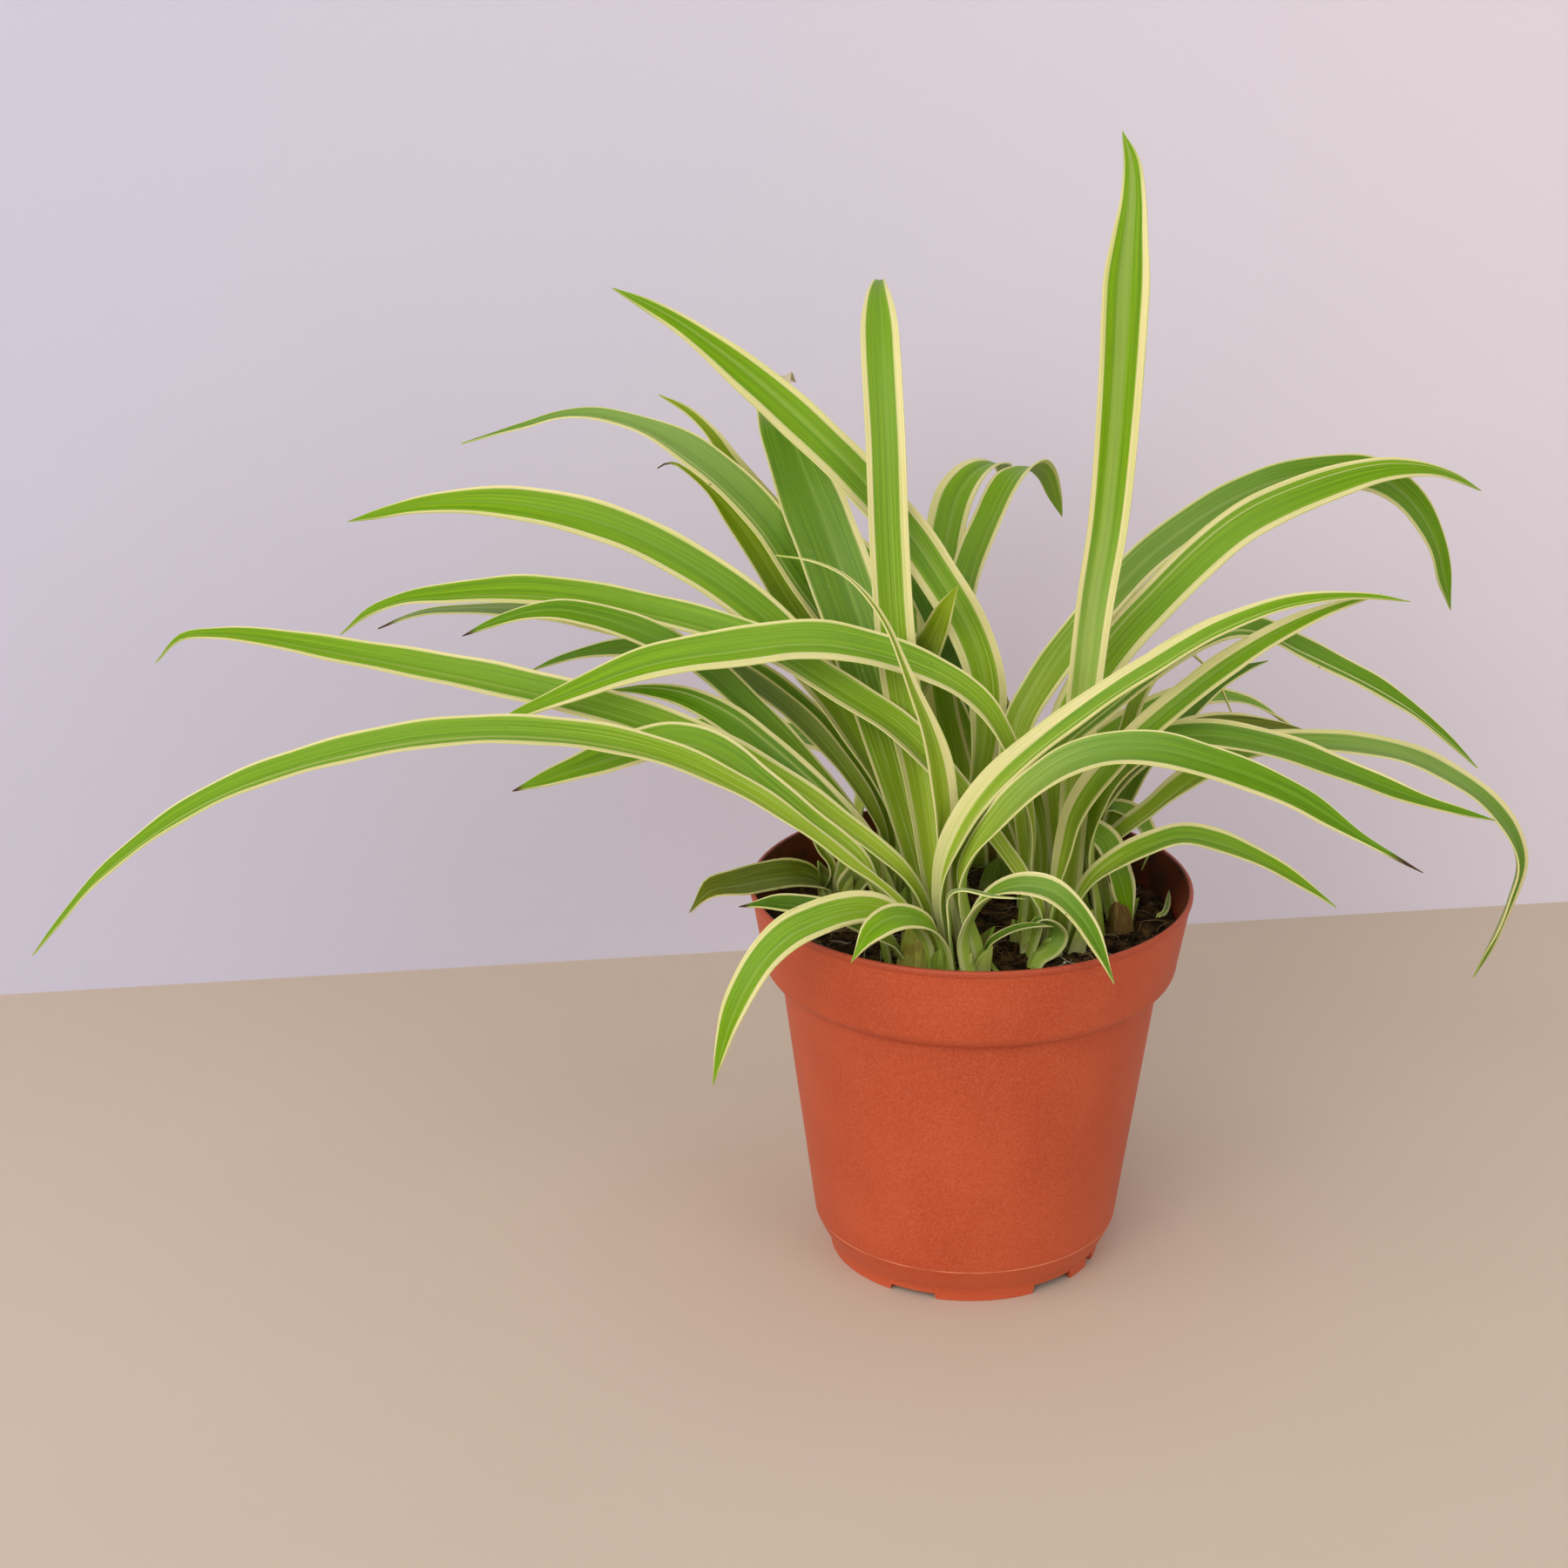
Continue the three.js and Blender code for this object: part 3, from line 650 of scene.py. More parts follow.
@dataclass(frozen=True)
class BladeFinish(Finish):
    """The finish of one striped blade, seen from its base towards its tip."""

    tone: Tone = Tone.BRIGHT
    left: float = 0.15
    right: float = 0.15
    streak_place: float = 0.5
    streak_width: float = 0.05
    streak_strength: float = 0.12
    margin_tip: float = 0.8
    pale_base: float = 0.36
    base_lines: float = 0.6
    brown_tip: float = 0.0
    # sheen: the strength of a painted sheen, a grey-green highlight; sheen_at: where along the blade it
    # lies
    sheen: float = 0.2
    sheen_at: float = 0.55
    scuffs: float = 0.0
    edge_marks: float = 0.0
    specks: float = 0.12
    seed: float = 0.0
    cream: Triple = (228, 216, 156)
    dull_cream: Triple = (198, 200, 118)
    base_cream: Triple = (196, 202, 128)
    # the base's yellow-green: partly its own pale colour, partly painted light on the shaded crown
    base_green: Triple = (170, 188, 52)
    base_line: Triple = (206, 212, 136)
    streak: Triple = (190, 200, 118)
    # the colour of the painted sheen, a grey-green highlight
    sheen_colour: Triple = (150, 174, 98)
    # the underside's paler colour: partly the leaf's own, partly painted light shining through
    underside: Triple = (156, 184, 84)
    brown: Triple = (92, 66, 24)
    dry: Triple = (70, 44, 30)
    scuff: Triple = (206, 214, 190)
    speck_spacing: float = 6 * MM
    speck_size: float = 0.08
    specular: float = 0.16
    relief: float = 0.5 * MM
    glow: float = 0.3
    glow_radius: Triple = (0.9, 1.0, 0.25)
    glow_depth: float = 1.2 * MM

    def material(self) -> bpy.types.Material:
        """Build the blade's material from its own UV map and underside mask.

        Returns:
            The material.
        """
        material, graph, shader = self.start()
        across, along, _ = graph.split(graph.uv())
        fade = graph.step(along, 0.2, 0.95, 1.0, self.margin_tip)
        stripes = graph.group(Effects.STRIPES.tree(), Across=across, Along=along,
                              Left=graph.times(fade, self.left),
                              Right=graph.times(fade, self.right),
                              Streak_Place=self.streak_place, Streak_Width=self.streak_width,
                              Wander=0.04, Seed=self.seed)
        colour = self.striped(graph, stripes, along)
        # The lower skin turns paler: partly its own paler colour, partly painted light that stands in for
        # light shining through the leaf.
        under = graph.node("ShaderNodeAttribute", attribute_name="underside").outputs["Fac"]
        colour = graph.mix(graph.times(under, 0.36), colour, self.underside)
        colour = self.marked(graph, colour, stripes, along)
        veins = stripes["Veins"]
        self.dress(graph, shader, colour, graph.step(veins, 0.2, 0.8, 0.32, 0.5), self.specular,
                   graph.bump(veins, 0.35, self.relief))
        shader.inputs["Subsurface Weight"].default_value = self.glow
        shader.inputs["Subsurface Radius"].default_value = self.glow_radius
        shader.inputs["Subsurface Scale"].default_value = self.glow_depth
        return material

    def striped(self, graph: Graph, stripes: dict[str, Socket], along: Socket) -> Socket:
        """Return the colour of the green middle between its cream margins.

        Args:
            graph: The material's graph.
            stripes: The outputs of the stripes group.
            along: The share of the length, from the base.

        Returns:
            The colour.
        """
        deep, light = self.tone.value
        fine = stripes["Fine"]
        green = graph.mix(graph.step(fine, 0.25, 0.75), deep, light)
        # Painted shade: the green is darkened along the midrib, where the folded blade's crease lies in
        # shade.
        green = graph.mix(graph.times(stripes["Rib"], 0.4), green, deep)
        # Painted sheen: a grey-green highlight painted round sheen_at along the blade, broken up by the
        # veins.
        sheen_mask = graph.step(graph.apart(along, self.sheen_at), 0.0, 0.32, self.sheen, 0.0)
        sheen_mask = graph.times(sheen_mask, graph.step(stripes["Veins"], 0.3, 0.7, 0.6, 1.0))
        green = graph.mix(sheen_mask, green, self.sheen_colour)
        green = graph.mix(graph.times(stripes["Streak"], self.streak_strength), green, self.streak)
        # Pale yellow-green base: partly the leaf's own pale base, partly painted light that brightens the
        # shaded crown.
        pale_and_lit_base = graph.step(along, 0.04, self.pale_base + 0.12, 0.85, 0.0)
        green = graph.mix(pale_and_lit_base, green, self.base_green)
        lined = graph.times(graph.step(fine, 0.53, 0.62),
                            graph.step(along, 0.05, self.pale_base + 0.2, self.base_lines, 0.0))
        green = graph.mix(lined, green, self.base_line)
        cream = graph.mix(graph.step(fine, 0.35, 0.75), self.cream, self.dull_cream)
        cream = graph.mix(graph.step(along, 0.0, self.pale_base, 0.6, 0.0), cream, self.base_cream)
        margin = graph.times(stripes["Margin"], graph.step(along, 0.9, 1.0, 1.0, 0.35))
        return graph.mix(margin, green, cream)

    def marked(self, graph: Graph, colour: Socket, stripes: dict[str, Socket],
               along: Socket) -> Socket:
        """Return the colour with its specks, brown edge marks, scuffs and dry tip.

        Args:
            graph: The material's graph.
            colour: The colour without marks.
            stripes: The outputs of the stripes group.
            along: The share of the length, from the base.

        Returns:
            The colour.
        """
        place = graph.place()
        dots = graph.group(Effects.SPECKS.tree(), Vector=place, Spacing=self.speck_spacing,
                           Size=self.speck_size, Share=self.specks)["Specks"]
        colour = graph.mix(graph.times(dots, 0.7), colour, self.brown)
        if self.edge_marks:
            blots = graph.step(graph.noise(place, 130.0, 3.0), 0.56, 0.66)
            edge = graph.times(blots, stripes["Edge"])
            colour = graph.mix(graph.times(edge, self.edge_marks), colour, self.brown)
        if self.scuffs:
            lines = graph.noise(graph.mapped(place, (1.0, 1.0, 0.35)), 260.0, 4.0, 0.7, 1.2)
            patches = graph.step(graph.noise(place, 45.0, 1.0), 0.5, 0.62)
            scuffed = graph.times(graph.step(lines, 0.6, 0.68), patches)
            colour = graph.mix(graph.times(scuffed, self.scuffs), colour, self.scuff)
        if self.brown_tip:
            dried = graph.step(along, 1.0 - self.brown_tip - 0.015, 1.0 - self.brown_tip * 0.5)
            colour = graph.mix(dried, colour, self.dry)
        return colour


@dataclass(frozen=True)
class SheathFinish(Finish):
    """The pale base of a leaf that clasps its crown, or a dry one, with lengthwise lines."""

    light: Triple = (190, 200, 104)
    dark: Triple = (136, 158, 44)
    foot: Triple = (206, 202, 146)
    blot: Triple = (122, 92, 40)
    specular: float = 0.3
    relief: float = 0.5 * MM

    def material(self) -> bpy.types.Material:
        """Build the sheath's material from its own UV map.

        Returns:
            The material.
        """
        material, graph, shader = self.start()
        uv = graph.uv()
        lines = graph.noise(graph.mapped(uv, (22.0, 1.6, 1.0)), 1.0, 3.0, 0.6)
        colour = graph.mix(graph.step(lines, 0.32, 0.68), self.dark, self.light)
        colour = graph.mix(graph.step(graph.split(uv)[1], 0.1, 0.6, 0.7, 0.0), colour, self.foot)
        blots = graph.step(graph.noise(graph.place(), 170.0, 3.0), 0.58, 0.7, 0.0, 0.55)
        colour = graph.mix(blots, colour, self.blot)
        self.dress(graph, shader, colour, graph.step(lines, 0.2, 0.8, 0.45, 0.65), self.specular,
                   graph.bump(lines, 0.4, self.relief))
        return material


@dataclass(frozen=True)
class PotFinish(Finish):
    """Moulded terracotta-coloured plastic, with a fine speckle, a pale flashing line that is partly a
    painted highlight, and painted light and shade.
    """

    line_height: float = 11.2 * MM
    collar_radius: float = 55.8 * MM
    collar_height: float = 84.3 * MM
    collar_slope: float = 0.172
    wall: float = 1.3 * MM
    lip_height: float = 106.2 * MM
    # where the painted shade on the inner wall starts, and how far it fades in
    inner_shade_from: float = 88 * MM
    inner_shade_fade: float = 2 * MM
    line_core: float = 0.08 * MM
    line_edge: float = 0.24 * MM
    fleck_spacing: float = 4.5 * MM
    fleck_size: float = 0.06
    fleck_share: float = 0.2
    specular: float = 0.4
    relief: float = 0.2 * MM
    patch: Triple = (180, 71, 34)
    other_patch: Triple = (188, 78, 39)
    light_grain: Triple = (214, 112, 78)
    dark_grain: Triple = (146, 56, 28)
    fleck: Triple = (112, 44, 24)
    # the flashing line's pale colour: a real seam, painted paler as a highlight along its ridge
    flashing: Triple = (232, 150, 110)
    # painted light on the foot flank
    foot: Triple = (214, 100, 60)
    # painted shade on the top of the lip
    lip: Triple = (146, 56, 30)
    # the painted shade on the inner wall, in two darknesses
    painted_inner_shade: Triple = (112, 42, 20)
    painted_inner_deep_shade: Triple = (64, 32, 18)

    def material(self) -> bpy.types.Material:
        """Build the pot's material.

        Returns:
            The material.
        """
        material, graph, shader = self.start()
        place = graph.place()
        height = graph.split(place)[2]
        noises = graph.group(Effects.GRAIN.tree(), Vector=place, Patch_Scale=34.0,
                             Grain_Scale=1500.0)
        grain = noises["Grain"]
        colour = graph.mix(graph.step(noises["Patches"], 0.35, 0.65), self.patch, self.other_patch)
        colour = graph.mix(graph.step(grain, 0.42, 0.75, 0.0, 0.3), colour, self.light_grain)
        colour = graph.mix(graph.step(grain, 0.42, 0.25, 0.0, 0.35), colour, self.dark_grain)
        dots = graph.group(Effects.SPECKS.tree(), Vector=place, Spacing=self.fleck_spacing,
                           Size=self.fleck_size, Share=self.fleck_share)["Specks"]
        colour = graph.mix(graph.times(dots, 0.55), colour, self.fleck)
        # Flashing line: a real moulding seam, painted paler as a highlight along its ridge, broken round
        # the pot.
        line = graph.step(graph.apart(height, self.line_height), self.line_core, self.line_edge,
                          0.8, 0.0)
        around = graph.noise(graph.mapped(place, (1.0, 1.0, 0.0)), 70.0)
        broken = graph.step(around, 0.34, 0.56, 0.25, 1.0)
        colour = graph.mix(graph.times(line, broken), colour, self.flashing)
        colour = self.shaded(graph, colour, place, height)
        self.dress(graph, shader, colour, graph.step(grain, 0.3, 0.7, 0.42, 0.6), self.specular,
                   graph.bump(grain, 0.25, self.relief))
        return material

    def shaded(self, graph: Graph, colour: Socket, place: Socket, height: Socket) -> Socket:
        """Return the colour with a lighter foot (painted light), a darker lip (painted shade) and a
        darker, mottled inner wall (painted shade).

        Args:
            graph: The material's graph.
            colour: The plastic's colour.
            place: The place on the object.
            height: The height above the standing surface.

        Returns:
            The colour.
        """
        radius = graph.node("ShaderNodeVectorMath", operation="LENGTH")
        graph.link(graph.mapped(place, (1.0, 1.0, 0.0)), radius.inputs[0])
        outer = graph.math("MULTIPLY_ADD", graph.minus(height, self.collar_height),
                           self.collar_slope, self.collar_radius)
        depth = graph.minus(outer, radius.outputs["Value"])
        inner = graph.times(graph.step(depth, 0.4 * self.wall, 0.8 * self.wall),
                            graph.step(height, self.inner_shade_from, self.inner_shade_from + self.inner_shade_fade))
        # Painted shade: the top of the lip is painted darker.
        lip = graph.step(height, self.lip_height, self.lip_height + 0.5 * MM, 0.0, 0.35)
        colour = graph.mix(lip, colour, self.lip)
        # Painted light: the foot flank below the flashing line is painted a lighter orange.
        foot = graph.step(height, 0.5 * self.line_height, self.line_height, 0.3, 0.0)
        colour = graph.mix(foot, colour, self.foot)
        # Painted shade on the inner wall, mottled between two darker browns.
        shade_mottle = graph.step(graph.noise(place, 75.0, 4.0, 0.6), 0.42, 0.66)
        return graph.mix(inner, colour, graph.mix(shade_mottle, self.painted_inner_shade, self.painted_inner_deep_shade))


@dataclass(frozen=True)
class PeatFinish(Finish):
    """Dark moist peat with paler strands."""

    dark: Triple = (26, 16, 7)
    light: Triple = (98, 72, 40)
    strand: Triple = (112, 88, 54)
    specular: float = 0.1
    relief: float = 1.5 * MM

    def material(self) -> bpy.types.Material:
        """Build the peat's material.

        Returns:
            The material.
        """
        material, graph, shader = self.start()
        place = graph.place()
        clods = graph.noise(place, 220.0, 5.0, 0.65)
        strands = graph.noise(graph.mapped(place, (1.0, 4.0, 1.0)), 420.0, 3.0, 0.6, 1.5)
        colour = graph.mix(graph.step(clods, 0.4, 0.72), self.dark, self.light)
        colour = graph.mix(graph.step(strands, 0.62, 0.75, 0.0, 0.6), colour, self.strand)
        self.dress(graph, shader, colour, graph.step(clods, 0.3, 0.7, 0.75, 0.95), self.specular,
                   graph.bump(clods, 0.9, self.relief))
        return material


@dataclass(frozen=True)
class FibreFinish(Finish):
    """A dry fibre, root or crumb, in two colours that vary from place to place."""

    dark: Triple = (120, 92, 56)
    light: Triple = (206, 190, 152)
    scale: float = 160.0
    specular: float = 0.5
    relief: float = 0.3 * MM

    def material(self) -> bpy.types.Material:
        """Build the fibre's material.

        Returns:
            The material.
        """
        material, graph, shader = self.start()
        patches = graph.noise(graph.place(), self.scale)
        colour = graph.mix(graph.step(patches, 0.35, 0.65), self.dark, self.light)
        self.dress(graph, shader, colour, graph.step(patches, 0.3, 0.7, 0.6, 0.85), self.specular,
                   graph.bump(patches, 0.4, self.relief))
        return material


@dataclass(frozen=True)
class PlainFinish(Finish):
    """A plain, faintly mottled surface for the floor and the backdrop."""

    colour: Triple = (210, 190, 170)
    mottle: Triple = (204, 184, 164)
    # a lighter colour towards the right: painted light that evens out the lamps' light across the
    # backdrop
    right_colour: Triple | None = None
    span: Pair = (-0.33, 0.25)
    one_sided: bool = False
    roughness: float = 0.85
    specular: float = 0.2

    def material(self) -> bpy.types.Material:
        """Build the surface's material, clear from behind where it is one-sided.

        Returns:
            The material.
        """
        material, graph, shader = self.start()
        place = graph.place()
        patches = graph.noise(place, 3.0, 3.0)
        colour = graph.mix(graph.step(patches, 0.3, 0.7), self.colour, self.mottle)
        # Painted light: the colour shifts to a lighter one towards the right, evening out the lamps'
        # light across the backdrop.
        if self.right_colour:
            rightward = graph.step(graph.split(place)[0], *self.span)
            colour = graph.mix(rightward, colour, self.right_colour)
        self.dress(graph, shader, colour, self.roughness, self.specular)
        if self.one_sided:
            output = shader.outputs[0].links[0].to_socket
            choice = graph.node("ShaderNodeMixShader")
            clear = graph.node("ShaderNodeBsdfTransparent")
            behind = graph.node("ShaderNodeNewGeometry").outputs["Backfacing"]
            for socket, source in zip(choice.inputs, (behind, shader.outputs[0], clear.outputs[0])):
                graph.link(source, socket)
            graph.link(choice.outputs[0], output)
        return material


# ---- The pot -------------------------------------------------------------------------------


@dataclass
class Pot:
    """The nursery pot: a turned wall with a collar, a lip, a notched foot ring and drain holes."""

    node: str = "pot"
    wall: float = 1.3 * MM
    collar_round: float = 4.8 * MM
    collar_round_radius: float = 56.4 * MM
    collar_round_top: float = 88.1 * MM
    collar_slope: float = 0.17
    body_top_radius: float = 50.6 * MM
    body_top: float = 75.5 * MM
    body_bottom_radius: float = 41.6 * MM
    body_bottom: float = 9 * MM
    foot_radius: float = 37.4 * MM
    foot_height: float = 5 * MM
    foot_flare: float = 0.5 * MM
    foot_ring: float = 3.2 * MM
    flank_top: float = 11.1 * MM
    flank_bulge: float = 0.3 * MM
    floor_thickness: float = 1.6 * MM
    floor_corner: float = 1.6 * MM
    gate_pad_radius: float = 6 * MM
    lip_height: float = 1.8 * MM
    lip_round: float = 0.5 * MM
    lip_fillet: float = 0.4 * MM
    rim_edge: float = 0.3 * MM
    small_edge: float = 0.2 * MM
    notches: tuple[Triple, ...] = (
        (248.5, 14 * MM, 1.8 * MM),
        (311.5, 14.5 * MM, 2.7 * MM),
        (338, 5 * MM, 2.7 * MM),
    )
    notch_reach: float = 8 * MM
    notch_draft: float = 1.2 * MM
    drain_hole_radius: float = 3.2 * MM
    drain_hole_count: int = 8
    drain_circle_radius: float = 25 * MM
    drain_hole_sides: int = 32
    sides: int = 180
    smooth_angle: float = 32
    finish: PotFinish = PotFinish("pot_plastic")

    def __post_init__(self) -> None:
        """Take the rim and the height from the frame."""
        low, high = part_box(self.node)
        self.rim_radius = (high.x - low.x) / 2
        self.height = high.z

    def arc(self, start: Pair, end: Pair, bulge_out: bool, steps: int) -> list[Pair]:
        """Return a quarter of an ellipse between two corners of the outline.

        Args:
            start: Radius and height at the start.
            end: Radius and height at the end.
            bulge_out: Whether the radius changes first, which rounds the corner outwards.
            steps: How many stretches the quarter has.

        Returns:
            The points from start to end.
        """
        points = []
        for i in range(steps + 1):
            angle = i / steps * math.pi / 2
            first, second = math.sin(angle), 1 - math.cos(angle)
            along_radius, along_height = (first, second) if bulge_out else (second, first)
            points.append((start[0] + (end[0] - start[0]) * along_radius,
                           start[1] + (end[1] - start[1]) * along_height))
        return points

    def outline(self) -> list[Pair]:
        """Return the pot's section from the middle of the underside, out, up and back inside.

        Returns:
            The radius and height of each corner.
        """
        edge = self.small_edge
        ring_inside = self.foot_radius - self.wall
        under = [
            (self.gate_pad_radius - self.lip_round, 0),
            (self.gate_pad_radius, self.lip_round),
            (self.gate_pad_radius + self.foot_flare, self.foot_height),
            (ring_inside, self.foot_height),
            (ring_inside, edge),
            (ring_inside + edge, 0),
            (self.foot_radius - edge, 0),
            (self.foot_radius, edge),
        ]
        collar = [self.collar_corner()]
        collar += self.arc(collar[0], (self.collar_round_radius, self.collar_round_top), True, 9)[1:]
        above = 1.2 * MM
        collar.append((self.collar_round_radius + self.collar_slope * above,
                       self.collar_round_top + above))
        lip_bottom = self.height - self.lip_height
        lip_foot = (self.rim_radius - self.lip_round, lip_bottom)
        lip = [(lip_foot[0], lip_bottom - self.lip_fillet)]
        lip += self.arc(lip_foot, (self.rim_radius, lip_bottom + self.lip_round), True, 3)
        lip += self.arc((self.rim_radius, self.height - self.lip_round),
                        (self.rim_radius - self.lip_round, self.height), False, 3)
        rim_inside = self.rim_radius - self.wall
        top_edge = [(rim_inside + self.rim_edge, self.height),
                    (rim_inside, self.height - self.rim_edge)]
        inside = self.inside()
        floor = (self.gate_pad_radius, inside[0][1])
        return under + self.flank() + collar + lip + top_edge + inside[-2::-1] + [floor]

    def body_radius(self, height: float) -> float:
        """Find how wide the body is at a height.

        Args:
            height: The height.

        Returns:
            The radius of its outer wall.
        """
        slope = ((self.body_top_radius - self.body_bottom_radius)
                 / (self.body_top - self.body_bottom))
        return self.body_bottom_radius + slope * (height - self.body_bottom)

    def collar_corner(self) -> Pair:
        """Return the radius and height of the sharp corner where the collar meets the body."""
        height = self.collar_round_top - self.collar_round
        return self.body_radius(height), height

    def flank(self) -> list[Pair]:
        """Return the slanted flank from the foot ring up to the body.

        Returns:
            The flank's corners and one corner just above it on the body.
        """
        start_radius = self.foot_radius + self.foot_flare / 2
        top_radius = self.body_radius(self.flank_top)
        corners = []
        steps = 6
        for i in range(steps + 1):
            share = i / steps
            out = self.flank_bulge * math.sin(math.pi * share)
            corners.append((start_radius + (top_radius - start_radius) * share + out,
                            self.foot_ring + (self.flank_top - self.foot_ring) * share))
        above = self.flank_top + 1.5 * MM
        corners.append((self.body_radius(above), above))
        return corners

    def inside(self) -> list[Pair]:
        """Return the inner wall, a wall's thickness inside the outer one.

        Returns:
            The radius and height of each corner, from the floor to the rim.
        """
        floor_top = self.foot_height + self.floor_thickness
        corner_radius, corner_height = self.collar_corner()
        outside = [
            (self.body_bottom_radius - self.floor_corner, floor_top),
            (self.body_bottom_radius, floor_top + 2 * self.floor_corner),
            (corner_radius, corner_height + self.wall / 2),
            (self.collar_round_radius, self.collar_round_top + self.wall / 2),
            (self.rim_radius, self.height),
        ]
        return [(radius - self.wall, height) for radius, height in outside]

    def cut(self, pot: Piece, cutter: Piece) -> None:
        """Cut one piece out of the pot and remove the cutter."""
        modify(pot, "BOOLEAN", operation="DIFFERENCE", object=cutter, solver="EXACT")
        bpy.data.objects.remove(cutter)

    def notch_cutter(self, bearing: float, width: float, depth: float) -> Piece:
        """Make the block that cuts one notch, with slanted ends.

        Args:
            bearing: Where the notch lies round the foot, in degrees.
            width: The width of the notch at the standing surface.
            depth: How far the notch reaches up.

        Returns:
            The cutting block.
        """
        deselect_all()
        bpy.ops.mesh.primitive_cube_add(size=1)
        block = name_active("notch_block")
        bpy.ops.transform.resize(value=(self.notch_reach, width, 2 * depth))
        bpy.ops.object.transform_apply(scale=True)
        bpy.ops.object.mode_set(mode="EDIT")
        bpy.ops.mesh.select_all(action="DESELECT")
        bpy.ops.object.mode_set(mode="OBJECT")
        for face in block.data.polygons:
            face.select = face.normal.z > 0.5
        bpy.ops.object.mode_set(mode="EDIT")
        bpy.ops.transform.resize(value=(1, 1 - self.notch_draft / width, 1))
        bpy.ops.object.mode_set(mode="OBJECT")
        bpy.ops.transform.translate(value=(self.foot_radius - self.wall / 2, 0, 0))
        bpy.ops.transform.rotate(value=-math.radians(bearing), orient_axis="Z",
                                 center_override=(0, 0, 0))
        bpy.ops.object.transform_apply(location=True, rotation=True)
        return block

    def hole_cutter(self, angle: float) -> Piece:
        """Make the cylinder that cuts one drain hole.

        Args:
            angle: Where the hole lies round the floor, in radians.

        Returns:
            The cutting cylinder.
        """
        deselect_all()
        out = self.drain_circle_radius
        bpy.ops.mesh.primitive_cylinder_add(
            vertices=self.drain_hole_sides, radius=self.drain_hole_radius, depth=4 * self.floor_thickness,
            location=(out * math.cos(angle), out * math.sin(angle),
                      self.foot_height + self.floor_thickness))
        bpy.ops.object.transform_apply(location=True)
        return bpy.context.object

    def build(self) -> Piece:
        """Make the finished pot.

        Returns:
            The pot.
        """
        pot = turned("nursery_pot", self.sides, self.outline())
        close_up(pot)
        for half_turn in (0, 180):
            for bearing, width, depth in self.notches:
                self.cut(pot, self.notch_cutter(bearing + half_turn, width, depth))
        for i in range(self.drain_hole_count):
            self.cut(pot, self.hole_cutter(i / self.drain_hole_count * 2 * math.pi))
        close_up(pot)
        self.finish.cover(pot, self.smooth_angle)
        return hand_over(pot, "pot_plastic", self.node)


# ---- The soil ------------------------------------------------------------------------------


